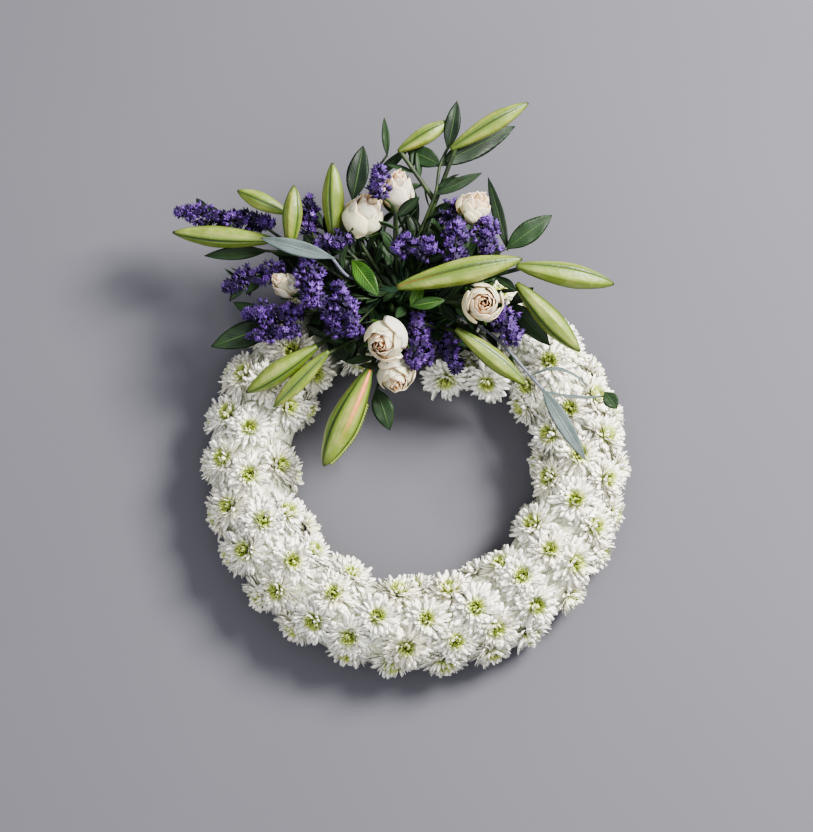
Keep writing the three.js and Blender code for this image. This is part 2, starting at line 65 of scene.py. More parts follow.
RING_CENTRE = Vector(((tray_low[0] + tray_high[0]) / 2, (tray_low[1] + tray_high[1]) / 2, 0))
UP = Vector((0, 0, 1))
MM = 0.001

# The view and the studio.
# The wreath is seen from nearly straight above, leaning 16 degrees back, as in the photograph. The floor is a
# plain pale card, and the light is a large soft lamp from the upper right with a broad fill.
VIEW_LEAN = math.radians(16)
CAMERA_DISTANCE = 3.2
CAMERA_LENS = 136
AIM = RING_CENTRE + Vector((-8.5, 60.4, 0)) * MM
SKY_COLOUR = (0.80, 0.82, 0.88, 1)
SKY_STRENGTH = 0.85
CARD_HALF = 9

to_camera = Vector((0, -math.sin(VIEW_LEAN), math.cos(VIEW_LEAN)))
camera = bpy.data.objects.new("camera", bpy.data.cameras.new("camera"))
camera.data.lens = CAMERA_LENS
camera.location = AIM + to_camera * CAMERA_DISTANCE
camera.rotation_euler = to_camera.to_track_quat("Z", "Y").to_euler()
bpy.context.collection.objects.link(camera)
bpy.context.scene.camera = camera


def soft_lamp(name, place, size, watts, colour):
    """A square area lamp that shines on the wreath from a place beside or over it."""
    lamp = bpy.data.lights.new(name, "AREA")
    lamp.size, lamp.energy, lamp.color = size, watts, colour
    stand = bpy.data.objects.new(name, lamp)
    stand.location = place
    stand.rotation_euler = Vector(place).to_track_quat("Z", "Y").to_euler()
    bpy.context.collection.objects.link(stand)


soft_lamp("key", (1.7, 0.85, 1.95), size=1.0, watts=236, colour=(1, 0.985, 0.955))
soft_lamp("fill", (-0.6, -1.6, 2.6), size=2.2, watts=34, colour=(0.98, 0.98, 1))
world = bpy.data.worlds.new("studio")
world.use_nodes = True
world.node_tree.nodes["Background"].inputs["Color"].default_value = SKY_COLOUR
world.node_tree.nodes["Background"].inputs["Strength"].default_value = SKY_STRENGTH
bpy.context.scene.world = world
bpy.context.scene.view_settings.look = "AgX - Medium High Contrast"


class Wire:
    """An output in a node tree that can be added to, multiplied and so on."""

    def __init__(self, nodes, socket):
        self.nodes, self.socket = nodes, socket

    def maths(self, operation, *others):
        return self.nodes.node("ShaderNodeMath", [self, *others], operation=operation)

    def __add__(self, other):
        return self.maths("ADD", other)

    def __sub__(self, other):
        return self.maths("SUBTRACT", other)

    def __rsub__(self, other):
        return self.nodes.node("ShaderNodeMath", [other, self], operation="SUBTRACT")

    def __mul__(self, other):
        return self.maths("MULTIPLY", other)

    def __truediv__(self, other):
        return self.maths("DIVIDE", other)

    def __pow__(self, other):
        return self.maths("POWER", other)

    __radd__, __rmul__ = __add__, __mul__


class Nodes:
    """A node tree whose nodes are added by kind, with their inputs given as wires or as plain values."""

    def __init__(self, tree):
        self.tree = tree

    def node(self, kind, inputs=(), output=0, **settings):
        node = self.tree.nodes.new(kind)
        for key, value in settings.items():
            setattr(node, key, value)
        pairs = inputs.items() if isinstance(inputs, dict) else enumerate(inputs)
        for key, value in pairs:
            if isinstance(value, Wire):
                self.tree.links.new(value.socket, node.inputs[key])
            else:
                node.inputs[key].default_value = value
        return Wire(self, node.outputs[output])


class Finish(Nodes):
    """A material whose colour, roughness and relief are worked out by nodes."""

    def __init__(self, name, **constants):
        self.material = bpy.data.materials.new(name)
        self.material.use_nodes = True
        super().__init__(self.material.node_tree)
        self.shader = self.tree.nodes["Principled BSDF"]
        for socket, value in constants.items():
            self.shader.inputs[socket.replace("_", " ")].default_value = value

    def attribute(self, name):
        return self.node("ShaderNodeAttribute", output="Fac", attribute_name=name)

    def noise(self, scale, detail=3.0, where=None):
        where = where or self.node("ShaderNodeTexCoord", output="Object")
        return self.node("ShaderNodeTexNoise", {"Vector": where, "Scale": scale, "Detail": detail})

    def between(self, wire, low, high, start=0.0, end=1.0):
        """The wire's share of the way from low to high, eased, as a value from start to end."""
        inputs = {"Value": wire, "From Min": low, "From Max": high, "To Min": start, "To Max": end}
        return self.node("ShaderNodeMapRange", inputs, interpolation_type="SMOOTHSTEP")

    def mix(self, factor, first, second):
        return self.node("ShaderNodeMix", {0: factor, 6: first, 7: second}, output=2, data_type="RGBA")

    def finish(self, colour, roughness=None, relief=None, depth=0.0):
        """Joins colour, roughness and a relief of that depth in metres to the surface."""
        self.tree.links.new(colour.socket, self.shader.inputs["Base Color"])
        if roughness:
            self.tree.links.new(roughness.socket, self.shader.inputs["Roughness"])
        if relief:
            height = {"Height": relief, "Distance": depth, "Strength": 1.0}
            bump = self.node("ShaderNodeBump", height, output="Normal")
            self.tree.links.new(bump.socket, self.shader.inputs["Normal"])


def rgb(*screen):
    """A colour as it shows on a screen, from 0 to 255 each, as linear light."""
    return (*[c / 255 / 12.92 if c < 10.3 else ((c / 255 + 0.055) / 1.055) ** 2.4 for c in screen], 1)


def new_mesh(name, points, faces, **attributes):
    """A mesh with smooth faces and any float values that belong to its points."""
    mesh = bpy.data.meshes.new(name)
    mesh.from_pydata([tuple(p) for p in points], [], faces)
    for key, values in attributes.items():
        numbers = np.asarray(values, dtype=np.float32)
        mesh.attributes.new(key, "FLOAT", "POINT").data.foreach_set("value", numbers)
    mesh.polygons.foreach_set("use_smooth", [True] * len(mesh.polygons))
    mesh.update()
    return mesh


card_corners = [(x * CARD_HALF, y * CARD_HALF, 0) for x, y in ((-1, -1), (1, -1), (1, 1), (-1, 1))]
floor = bpy.data.objects.new("floor", new_mesh("floor", card_corners, [(0, 1, 2, 3)]))
card = Finish("studio_card", Roughness=0.85)
card.finish(card.mix(card.noise(3.0), rgb(90, 89, 95), rgb(94, 93, 99)))
floor.data.materials.append(card.material)
bpy.context.collection.objects.link(floor)

# The tray.
# A green plastic ring dish, vacuum formed, with a rolled lip. It is turned round its centre in one piece and
# lies flat on its floor.
TRAY_SIDES = 144
TRAY_INNER, TRAY_OUTER = 136.2, 193.8
TRAY_WALL = 2.4
TRAY_HEIGHT = 14
LIP_RADIUS = 1.2
LIP_STEPS = 4


def world_point(point):
    """Where a point in millimetres from the ring's middle lies in the scene."""
    return RING_CENTRE + point * MM


def ring_point(radius, turn, height):
    return world_point(Vector((radius * math.cos(turn), radius * math.sin(turn), height)))


def show(name, mesh, material, slot, *nodes):
    """Puts a finished mesh in the scene as a piece that stands for CAD nodes."""
    piece = bpy.data.objects.new(name, mesh)
    bpy.context.collection.objects.link(piece)
    if not mesh.materials:
        mesh.materials.append(material)
    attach(piece, "root")
    if nodes:
        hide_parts(*nodes)


def turned(profile, sides):
    """A closed ring from a profile of (radius, height), turned about the wreath's middle."""
    turns = [2 * math.pi * side / sides for side in range(sides)]
    points = [ring_point(radius, turn, height) for turn in turns for radius, height in profile]
    count, faces = len(profile), []
    for side in range(sides):
        near, far = side * count, (side + 1) % sides * count
        for step in range(count):
            following = (step + 1) % count
            faces.append((near + step, far + step, far + following, near + following))
    return points, faces


def tray_profile(inner, outer):
    """The section of the dish: flat floor, rounded corners, and both walls with their lips."""

    def lip(middle):
        turns = [math.pi * step / LIP_STEPS for step in range(LIP_STEPS + 1)]
        base = TRAY_HEIGHT - LIP_RADIUS
        return [(middle + LIP_RADIUS * math.cos(t), base + LIP_RADIUS * math.sin(t)) for t in turns]

    underside = [(inner + 1, 0), (outer - 1, 0)]
    outside = [(outer, 1), (outer, 6), *lip(outer - LIP_RADIUS)]
    trough = [(outer - TRAY_WALL, 3), (outer - 3.5, 2), (inner + 3.5, 2), (inner + TRAY_WALL, 3)]
    inside = [*lip(inner + LIP_RADIUS), (inner, 6), (inner, 1)]
    return [*underside, *outside, *trough, *inside]


plastic = Finish("tray_plastic", Roughness=0.5)
plastic_tone = plastic.mix(plastic.noise(60), rgb(34, 62, 44), rgb(42, 74, 52))
plastic_gloss = plastic.between(plastic.noise(240), 0, 1, 0.42, 0.6)
plastic.finish(plastic_tone, plastic_gloss, plastic.noise(900), 0.00015)
dish = new_mesh("tray_dish", *turned(tray_profile(TRAY_INNER, TRAY_OUTER), TRAY_SIDES))
show("tray_dish", dish, plastic.material, "tray_plastic", "tray")

# The wet foam.
# Blocks of green phenolic floral foam, cast and cut, soaked dark. The ring stands in the tray, and the block
# that holds the spray stands on the ring. Both keep their CAD shape, with the holes that the stems stand in.
foam = Finish("wet_foam", Roughness=0.95)
crumb = foam.noise(1400, 6)
foam.finish(foam.mix(foam.between(crumb, 0.35, 0.65), rgb(18, 40, 26), rgb(34, 66, 44)), None, crumb, 0.0006)
for node in ("foam_ring", "spray_foam"):
    for slot in frame["nodes"][node].material_slots:
        slot.material = foam.material

# The massed chrysanthemums.
# White double spray chrysanthemums with green eyes, cut short and pushed into the foam so close that their
# petals touch. Each head is a spiral of strap petals round an eye of short green florets.
SPRAY_ANGLE = 96
SPRAY_BARE = 27
SECTORS = 12
SECTOR = 360 / SECTORS
HEAD_ROWS = [(10, 26), (50, 25), (91, 21), (133, 17), (172, 12)]
RING_RADIUS = 165
MASS_HEIGHT = 28
MASS_REACH = 43
HANGING_HEADS = [((31, 93, 58), (0.05, -0.8, 0.6), 1), ((72, 90, 58), (-0.2, -0.75, 0.62), 0.95)]
HEAD_KINDS = 5
PETALS = 150
PETAL_CURLS = (0.1, 0.24, 0.4, 0.0)
PETAL_HALF_WIDTH = 0.125
GOLDEN_TURN = 2.39996
EYE_LENGTH, EXTRA_LENGTH = 3.8, 19.6
EYE_WIDTH, EXTRA_WIDTH = 7, 17


def blade_skin(rows, cols, at, thickness, step=0.01):
    """A thin closed blade whose middle is at(across, along), for across -1 to 1 and along 0 to 1: its points,
    its faces, and where across and along it each point lies."""
    points, places, faces, upper, lower = [], [], [], {}, {}
    for row in range(rows + 1):
        for col in range(cols + 1):
            across, along = 2 * col / cols - 1, row / rows
            beside = at(across + step, along) - at(across - step, along)
            forward = at(across, along + step) - at(across, along - step)
            normal = beside.cross(forward).normalized()
            rim = row in (0, rows) or col in (0, cols)
            for side, skin in ((1, upper), (-1, lower)):
                if rim and side < 0:
                    skin[row, col] = upper[row, col]
                    continue
                skin[row, col] = len(points)
                points.append(at(across, along) + normal * (0 if rim else side * thickness / 2))
                places.append((across, along))
    for row in range(rows):
        for col in range(cols):
            corners = [(row, col), (row, col + 1), (row + 1, col + 1), (row + 1, col)]
            faces.append(tuple(upper[c] for c in corners))
            faces.append(tuple(lower[c] for c in reversed(corners)))
    return points, faces, places


def thin_sheet(name, rows, cols, at, thickness):
    """A thin closed blade as a mesh, for copies of about unit length."""
    points, faces, places = blade_skin(rows, cols, at, thickness, 1e-3)
    across, along = zip(*places)
    return new_mesh(name, points, faces, along=along, across=across)


class Growth(Nodes):
    """A Geometry Nodes tree that sets out copies of a shape."""

    def __init__(self, name):
        super().__init__(bpy.data.node_groups.new(name, "GeometryNodeTree"))
        self.tree.interface.new_socket("Shape", in_out="OUTPUT", socket_type="NodeSocketGeometry")
        self.inlet = self.tree.nodes.new("NodeGroupInput")
        self.outlet = self.tree.nodes.new("NodeGroupOutput")
        self.base = self.knob("Base", "Geometry")

    def knob(self, name, kind):
        self.tree.interface.new_socket(name, in_out="INPUT", socket_type="NodeSocket" + kind)
        return Wire(self, self.inlet.outputs[name])

    def random(self, low, high, seed, purpose):
        """A value from low to high for each copy. The purpose keeps one draw apart from another."""
        inputs = {2: low, 3: high, "Seed": seed + purpose}
        return self.node("FunctionNodeRandomValue", inputs, output=1, data_type="FLOAT")

    def copies(self, points, shapes, **placing):
        """A copy on each point of one of the shapes in a collection."""
        children = {"Collection": shapes, "Separate Children": True, "Reset Children": True}
        inputs = {"Points": points, "Instance": self.node("GeometryNodeCollectionInfo", children)}
        inputs |= {"Pick Instance": True, **{key.replace("_", " "): value for key, value in placing.items()}}
        return self.node("GeometryNodeInstanceOnPoints", inputs)

    def mark(self, copies, name, value):
        """The copies, each with a value of its own that the material reads."""
        inputs = {"Geometry": copies, "Name": name, "Value": value}
        return self.node("GeometryNodeStoreNamedAttribute", inputs, data_type="FLOAT", domain="INSTANCE")

    def end(self, copies, finish):
        solid = self.node("GeometryNodeRealizeInstances", [copies])
        coated = self.node("GeometryNodeSetMaterial", {"Geometry": solid, "Material": finish})
        self.tree.links.new(coated.socket, self.outlet.inputs[0])

    def grow(self, name, base, **knobs):
        """The plain mesh that the tree makes on a base mesh with its knobs at these values."""
        holder = bpy.data.objects.new(name, base)
        bpy.context.collection.objects.link(holder)
        modifier = holder.modifiers.new("growth", "NODES")
        modifier.node_group = self.tree
        for item in self.tree.interface.items_tree:
            if item.in_out == "INPUT" and item.name in knobs:
                modifier[item.identifier] = knobs[item.name]
        holder.update_tag()
        graph = bpy.context.evaluated_depsgraph_get()
        grown = bpy.data.meshes.new_from_object(holder.evaluated_get(graph), depsgraph=graph)
        bpy.data.objects.remove(holder)
        grown.name = name
        return grown


def set_of(name, meshes):
    """A collection of loose shapes for a growth to copy."""
    shapes = bpy.data.collections.new(name)
    for i, mesh in enumerate(meshes):
        shapes.objects.link(bpy.data.objects.new(f"{name}_{i}", mesh))
    return shapes


def clear(shapes):
    for shape in list(shapes.objects):
        bpy.data.objects.remove(shape)
    bpy.data.collections.remove(shapes)


def strap_petal(name, curl, twist):
    """A strap petal of unit length along X, cupped across and curling up towards its blunt tip."""

    def at(across, along):
        girth = 0.45 + 0.55 * math.sin(math.pi * (0.1 + 0.56 * along))
        half = PETAL_HALF_WIDTH * girth * (1 - 0.5 * max(along, 0) ** 9)
        side, rise = half * across, curl * along**2 + 0.45 * half * across**2
        lean = twist * along
        return Vector((along - 0.35 * curl * along**2, side * math.cos(lean), rise + side * math.sin(lean)))

    return thin_sheet(name, 4, 2, at, 0.02)


def spiral_head():
    """A growth that sets petals in a spiral, from a tight upright eye to long petals that lie flat."""
    growth = Growth("spiral_of_petals")
    petals, count = growth.knob("Petal Shapes", "Collection"), growth.knob("Petals", "Int")
    seed, finish = growth.knob("Seed", "Int"), growth.knob("Finish", "Material")
    points = growth.node("GeometryNodePoints", {"Count": count})
    ring = (growth.node("GeometryNodeInputIndex") + 0.5) / count
    turn = GOLDEN_TURN * growth.node("GeometryNodeInputIndex") + growth.random(-0.3, 0.3, seed, 1)
    spread = (4.6 * ring**0.6 + 0.9) * MM
    depth = (-0.2 - 0.55 * ring) * (7 * MM)
    foot = [spread * turn.maths("COSINE"), spread * turn.maths("SINE"), depth]
    root = growth.node("ShaderNodeCombineXYZ", foot)
    placed = growth.node("GeometryNodeSetPosition", {"Geometry": points, "Position": root})
    tilt = 1.6 * ring**0.75 - 1.3 + growth.random(-0.2, 0.2, seed, 2)
    facing = growth.node("ShaderNodeCombineXYZ", [growth.random(-0.4, 0.4, seed, 3), tilt, turn])
    length = (EXTRA_LENGTH * ring**0.8 + EYE_LENGTH) * growth.random(0.86, 1.06, seed, 4) * MM
    width = (EXTRA_WIDTH * ring**0.6 + EYE_WIDTH) * growth.random(0.85, 1.15, seed, 5) * MM
    copies = growth.copies(
        placed,
        petals,
        Rotation=growth.node("FunctionNodeEulerToRotation", [facing]),
        Scale=growth.node("ShaderNodeCombineXYZ", [length, width, width]),
    )
    growth.end(growth.mark(copies, "ring", ring), finish)
    return growth


def set_out():
    """A growth that puts one of its shapes on each point of the base, turned and sized as the point says."""
    growth = Growth("copies_at_places")
    shapes, finish = growth.knob("Shapes", "Collection"), growth.knob("Finish", "Material")
    seed = growth.knob("Seed", "Int")
    copies = growth.copies(
        growth.base,
        shapes,
        Instance_Index=growth.random(0, 999, seed, 1),
        Rotation=growth.node("GeometryNodeInputNamedAttribute", {"Name": "turn"}, data_type="QUATERNION"),
        Scale=growth.node("GeometryNodeInputNamedAttribute", {"Name": "size"}, data_type="FLOAT"),
    )
    growth.end(growth.mark(copies, "tone", growth.random(0, 1, seed, 2)), finish)
    return growth


def places_mesh(name, places):
    """A mesh of loose points, each with the turn and size of the copy that goes there."""
    points, turns, sizes = zip(*places)
    mesh = bpy.data.meshes.new(name)
    mesh.from_pydata([tuple(point) for point in points], [], [])
    parts = [part for turn in turns for part in turn]
    mesh.attributes.new("turn", "QUATERNION", "POINT").data.foreach_set("value", parts)
    mesh.attributes.new("size", "FLOAT", "POINT").data.foreach_set("value", sizes)
    return mesh


def spot(across, up, height):
    """A point as the photograph shows it: how far right of and above the ring's middle, and how high, in
    millimetres."""
    return Vector((across, (up - height * math.sin(VIEW_LEAN)) / math.cos(VIEW_LEAN), height))


def scatter(index, purpose):
    """A number from -1 to 1 that depends only on which piece asks and what for."""
    wave = math.sin(index * 12.9898 + purpose * 78.233) * 43758.5453
    return 2 * (wave - math.floor(wave)) - 1


def ahead(angle, of):
    """How far one angle is ahead of another, from -180 to 180 degrees."""
    return (angle - of + 180) % 360 - 180


def head_places():
    """Where each head sits, as (angle round the ring, point, the way it faces, size)."""
    places = []
    for row, (lean, count) in enumerate(HEAD_ROWS):
        on_top = 0 < row < len(HEAD_ROWS) - 1
        for step in range(count):
            index = 100 * row + step
            angle = (360 / count) * (step + 0.5 * (row % 2) + 0.12 * scatter(index, 1))
            if on_top and abs(ahead(angle, SPRAY_ANGLE)) < SPRAY_BARE:
                continue
            tilt = math.radians(lean + 4 * scatter(index, 2))
            reach = MASS_REACH + 1.5 * scatter(index, 3)
            turn = Quaternion(UP, math.radians(angle))
            facing = Vector((math.cos(tilt), 0, math.sin(tilt)))
            centre = turn @ (Vector((RING_RADIUS, 0, MASS_HEIGHT)) + facing * reach)
            places.append((angle, world_point(centre), turn @ facing, 1 + 0.07 * scatter(index, 4)))
    for at, facing, size in HANGING_HEADS:
        point = spot(*at)
        angle = math.degrees(math.atan2(point.y, point.x))
        places.append((angle, world_point(point), Vector(facing).normalized(), size))
    return places


white = Finish("chrysanthemum_petals", Roughness=0.62)
ring, along, tone = white.attribute("ring"), white.attribute("along"), white.attribute("tone")
cream = white.mix(tone, rgb(254, 253, 243), rgb(254, 250, 232))
from_eye = ring * 26 * along + ring * 4
cream = white.mix(white.between(from_eye, 3.5, 11), rgb(212, 222, 136), cream)
lime = white.mix(along, rgb(160, 184, 62), rgb(218, 228, 130))
petal_tone = white.mix(white.between(ring, 0.12, 0.3), lime, cream)
petal_tone = white.mix(white.between(ring, 0.03, 0.06), rgb(34, 46, 16), petal_tone)
white.finish(petal_tone, None, white.noise(700), 0.0002)

petal_meshes = [strap_petal(f"petal_{i}", curl, 0.35 * i - 0.5) for i, curl in enumerate(PETAL_CURLS)]
petal_shapes = set_of("petal", petal_meshes)
spiral, copies = spiral_head(), set_out()
stub = bpy.data.meshes.new("stub")
head_knobs = {"Petal Shapes": petal_shapes, "Petals": PETALS, "Finish": white.material}
head_meshes = [spiral.grow(f"head_{i}", stub, Seed=10 * i, **head_knobs) for i in range(HEAD_KINDS)]
head_shapes = set_of("head", head_meshes)
all_heads = head_places()

# The calyces.
# Under the petals, green calyces and scraps of leaf fill the space down to the foam, in an arch over the
# tray. They are pale where petals cover them, and near the spray they are painted dark green as its shade.
CALYX_ARCH = [
    (194.5, 9), (203.5, 14), (203, 36), (191, 57), (178, 62), (165, 64), (152, 62), (139, 57),
    (127, 36), (126.5, 14), (135.5, 9), (135.5, 39), (146, 46.6), (184, 46.6), (194.5, 39),
]
CALYX_STEPS = 14
CALYX_ROUGHNESS = 1.6
LAST_OUTER = 9

calyx = Finish("calyx_green", Roughness=0.8)
calyx_tone = calyx.mix(calyx.between(calyx.noise(260), 0.35, 0.7), rgb(176, 180, 150), rgb(232, 234, 222))
# Painted shade: near the spray the calyces are mixed towards dark green, standing for the spray's shadow.
painted_spray_shade = calyx.between(calyx.attribute("shade"), 0.0, 1.0, 0, 0.95)
calyx.finish(calyx.mix(painted_spray_shade, calyx_tone, rgb(26, 44, 22)), None, calyx.noise(420), 0.002)


def calyx_sector(name, start, stop):
    """The arch between two angles round the ring, rough on its outer side, with a painted shade share at each
    point.
    """
    points, faces, shade, count = [], [], [], len(CALYX_ARCH)
    for step in range(CALYX_STEPS + 1):
        angle = start + (stop - start) * step / CALYX_STEPS
        # Painted shade share: 1 within 30 degrees of the spray, fading to 0 at 36 degrees.
        spray_shade_share = (SPRAY_BARE + 9 - abs(ahead(angle, SPRAY_ANGLE))) / 6
        shade += [max(0, min(1, spray_shade_share))] * count
        for i, (radius, height) in enumerate(CALYX_ARCH):
            rough = CALYX_ROUGHNESS * scatter(31 * step + i, 7 + start) if 0 < i <= LAST_OUTER else 0
            points.append(ring_point(radius + rough, math.radians(angle), height))
    for step in range(CALYX_STEPS):
        for i in range(count):
            a, b = step * count + i, step * count + (i + 1) % count
            faces.append((a, b, b + count, a + count))
    last = CALYX_STEPS * count
    faces += [tuple(range(count)), tuple(reversed(range(last, last + count)))]
    return new_mesh(name, points, faces, shade=shade)


for sector in range(SECTORS):
    middle = SPRAY_ANGLE + SECTOR * sector
    node = f"chrysanthemums_{sector + 1:02d}"
    mine = [
        (point, UP.rotation_difference(facing) @ Quaternion(UP, 2.6 * scatter(n, 9)), size)
        for n, (angle, point, facing, size) in enumerate(all_heads)
        if -SECTOR / 2 <= ahead(angle, middle) < SECTOR / 2
    ]
    base = places_mesh(node + "_places", mine)
    grown = copies.grow(node + "_heads", base, Seed=sector, Shapes=head_shapes, Finish=white.material)
    show(node + "_heads", grown, white.material, "chrysanthemum_petals", node)
    under = calyx_sector(node + "_calyces", middle - SECTOR / 2, middle + SECTOR / 2)
    show(node + "_calyces", under, calyx.material, "green_leaves")
clear(head_shapes)
clear(petal_shapes)

# The stems.
# Green and woody stems, cut square. Every stem of the spray is pushed 12 mm into the foam block, in the free
# place of its top and sides that lies nearest the way the stem goes.
BLOCK_MIDDLE = Vector((RING_RADIUS, 0, 71.4))
BLOCK_HALF = Vector((23, 32, 25))
HOLE_PITCH = 8
STEM_DEPTH = 12
LINE_STEP = 7
THIN_STEM, FINE_STEM, THICK_STEM = 1.5, 1.2, 2.4
to_spray = Quaternion(UP, math.radians(SPRAY_ANGLE))
heart = to_spray @ (BLOCK_MIDDLE - UP * 6)


def socket_places():
    """The free places, as (point, the way out of the foam)."""
    places = []
    for across in range(-2, 3):
        places += [((HOLE_PITCH * across, HOLE_PITCH * y, BLOCK_HALF.z), (0, 0, 1)) for y in range(-3, 4)]
    for side in (-1, 1):
        for height in (-3, 5):
            places += [((side * BLOCK_HALF.x, HOLE_PITCH * y, height), (side, 0, 0)) for y in range(-2, 3)]
            places += [((HOLE_PITCH * x, side * BLOCK_HALF.y, height), (0, side, 0)) for x in range(-2, 3)]
    return [(to_spray @ (Vector(point) + BLOCK_MIDDLE), to_spray @ Vector(out)) for point, out in places]


free_places = socket_places()
spray_lines = []


def spray_path(points):
    """The line of a stem from its foot in the foam through these points."""
    bearing = (points[0] - heart).normalized()
    place = max(free_places, key=lambda free: (free[0] - heart).normalized().dot(bearing))
    free_places.remove(place)
    point, out = place
    return [point - out * STEM_DEPTH, point + out * 2, *points]


def through(table, share):
    """A smooth curve through a table of (share, value)."""
    xs, ys = zip(*table)
    last = len(xs) - 1
    i = max(1, next((n for n, x in enumerate(xs) if x >= share), last))

    def slope(n):
        before, after = max(n - 1, 0), min(n + 1, last)
        return (ys[after] - ys[before]) / (xs[after] - xs[before])

    span = xs[i] - xs[i - 1]
    t = min(max((share - xs[i - 1]) / span, 0), 1)
    return (
        (2 * t**3 - 3 * t**2 + 1) * ys[i - 1]
        + (t**3 - 2 * t**2 + t) * span * slope(i - 1)
        + (3 * t**2 - 2 * t**3) * ys[i]
        + (t**3 - t**2) * span * slope(i)
    )


def line_through(points):
    """A smooth line of close points through some wide ones."""
    marks = [0]
    for a, b in zip(points, points[1:]):
        marks.append(marks[-1] + (b - a).length)
    shares = [mark / marks[-1] for mark in marks]
    count = max(2, round(marks[-1] / LINE_STEP))
    tables = [list(zip(shares, [point[axis] for point in points])) for axis in range(3)]
    return [Vector([through(table, n / count) for table in tables]) for n in range(count + 1)]


class Shell:
    """Closed skins gathered into one mesh. Each point carries named values for the material."""

    def __init__(self, *values):
        self.points, self.faces = [], []
        self.values = {value: [] for value in values}

    def add(self, point, values):
        self.points.append(world_point(point))
        for key, value in zip(self.values, values):
            self.values[key].append(value)

    def grid(self, rows, sides, at):
        """A skin closed at both ends. at(along, round it) gives a point and its values, each from 0 to 1."""
        start = len(self.points)
        for row in range(rows + 1):
            for side in range(sides):
                self.add(*at(row / rows, side / sides))
        for row in range(rows):
            for side in range(sides):
                a, b = start + row * sides + side, start + row * sides + (side + 1) % sides
                self.faces.append((a, b, b + sides, a + sides))
        self.faces.append(tuple(reversed(range(start, start + sides))))
        self.faces.append(tuple(range(start + rows * sides, start + (rows + 1) * sides)))

    def tube(self, line, radius, sides=8):
        """A round stem along a line, a little uneven."""
        last = len(line) - 1

        def at(along, side):
            i = round(along * last)
            forward = (line[min(i + 1, last)] - line[max(i - 1, 0)]).normalized()
            upright = abs(forward.z) > 0.95
            aside = forward.orthogonal().normalized() if upright else forward.cross(UP).normalized()
            turn = 2 * math.pi * side
            girth = radius * (1 + 0.06 * math.sin(5 * along + 3 * radius))
            point = line[i] + girth * (aside * math.cos(turn) + aside.cross(forward) * math.sin(turn))
            return point, [along] * len(self.values)

        self.grid(last, sides, at)

    def sheet(self, rows, cols, thickness, at):
        """A thin closed blade. at(across, along) gives its middle and its values."""
        start = len(self.points)
        points, faces, places = blade_skin(rows, cols, lambda u, v: at(u, v)[0], thickness)
        for point, place in zip(points, places):
            self.add(point, at(*place)[1])
        self.faces += [tuple(start + corner for corner in face) for face in faces]

    def mesh(self, name):
        return new_mesh(name, self.points, self.faces, **self.values)


stalk = Finish("stem_green", Roughness=0.55)
stalk_tone = stalk.mix(stalk.between(stalk.noise(90), 0.3, 0.7), rgb(20, 32, 14), rgb(46, 64, 24))
stalk.finish(stalk_tone, None, stalk.noise(900), 0.0004)
silver_stalk = Finish("stem_silver", Roughness=0.6)
silver_tone = silver_stalk.mix(silver_stalk.noise(120), rgb(84, 92, 96), rgb(116, 114, 132))
silver_stalk.finish(silver_tone, None, silver_stalk.noise(900), 0.0004)


def stems(node, paths, radius, finish=stalk, slot="green_leaves"):
    """The stems of a node, as a piece of their own."""
    shell = Shell("along")
    for path in paths:
        line = line_through(path)
        spray_lines.append(line)
        shell.tube(line, radius)
    show(node + "_stem", shell.mesh(node + "_stem"), finish.material, slot)


# The leaves.
# Ruscus and bay, waxy and dark, with a lighter midrib; small fresh green ones; and grey eucalyptus with a
# bloom on it. Each is a thin blade that grew folded a little along its midrib.
LEAF_SHAPE = [(0, 0.04), (0.05, 0.18), (0.27, 0.8), (0.52, 1), (0.78, 0.66), (0.93, 0.26), (1, 0.02)]
LEAF_ROWS, LEAF_COLS = 22, 8
LEAF_THICKNESS = 0.9
LEAF_FOLD = 0.2


def leaf_finish(name, dark, light, rib, gloss):
    """A leaf's surface: mottled, with a rib along it and veins that slant forward from the rib."""
    waxy = {"Specular_IOR_Level": 0.3, "Subsurface_Weight": 0.08, "Subsurface_Scale": 0.002}
    surface = Finish(name, Roughness=gloss, **waxy)
    along, across, tone = (surface.attribute(value) for value in ("along", "across", "tone"))
    mottled = surface.mix(surface.between(surface.noise(45) + tone * 0.5, 0.45, 0.95), dark, light)
    slant = (along * 13 - across.maths("ABSOLUTE") * 3.2) * (2 * math.pi)
    vein = surface.between(slant.maths("COSINE"), 0.72, 1.0)
    spine = surface.between(across.maths("ABSOLUTE"), 0.1, 0.03)
    ribbed = surface.mix(spine * 0.8, surface.mix(vein * 0.35, mottled, rib), rib)
    surface.finish(ribbed, None, vein * 0.4 + spine + surface.noise(160) * 0.5, 0.0005)
    return surface


dark_leaf = leaf_finish("dark_leaf", rgb(10, 24, 13), rgb(30, 52, 25), rgb(60, 84, 44), 0.5)
bright_leaf = leaf_finish("bright_leaf", rgb(30, 60, 16), rgb(58, 94, 28), rgb(96, 128, 56), 0.36)
silver_leaf = leaf_finish("silver_leaf", rgb(64, 78, 76), rgb(96, 108, 106), rgb(120, 128, 124), 0.6)


def bow(start, middle, end, share):
    """The point at a share of a bowed line, and the way the line heads there."""
    point = start * (1 - share) ** 2 + middle * 2 * share * (1 - share) + end * share * share
    return point, ((middle - start) * (1 - share) + (end - middle) * share).normalized()


def name_number(name):
    """A number that depends only on a piece's name, to seed its scatter."""
    return sum(map(ord, name))


def leaf(shell, root, tip, width, lift, above, fold, tone):
    """A blade from root to tip, arched by lift and waved a little along its edges."""
    middle = (root + tip) / 2 + above * 2 * lift
    wave = 2.2 * tone + 4

    def at(across, along):
        point, heading = bow(root, middle, tip, along)
        aside = heading.cross(above).normalized()
        half = through(LEAF_SHAPE, along) * width / 2
        ripple = 0.09 * across**2 * math.sin(wave * math.pi * along + 2 * across)
        rise = half * (fold * abs(across) ** 1.3 + ripple)
        return point + aside * half * across + aside.cross(heading) * rise, (along, across, tone)

    shell.sheet(LEAF_ROWS, LEAF_COLS, LEAF_THICKNESS, at)


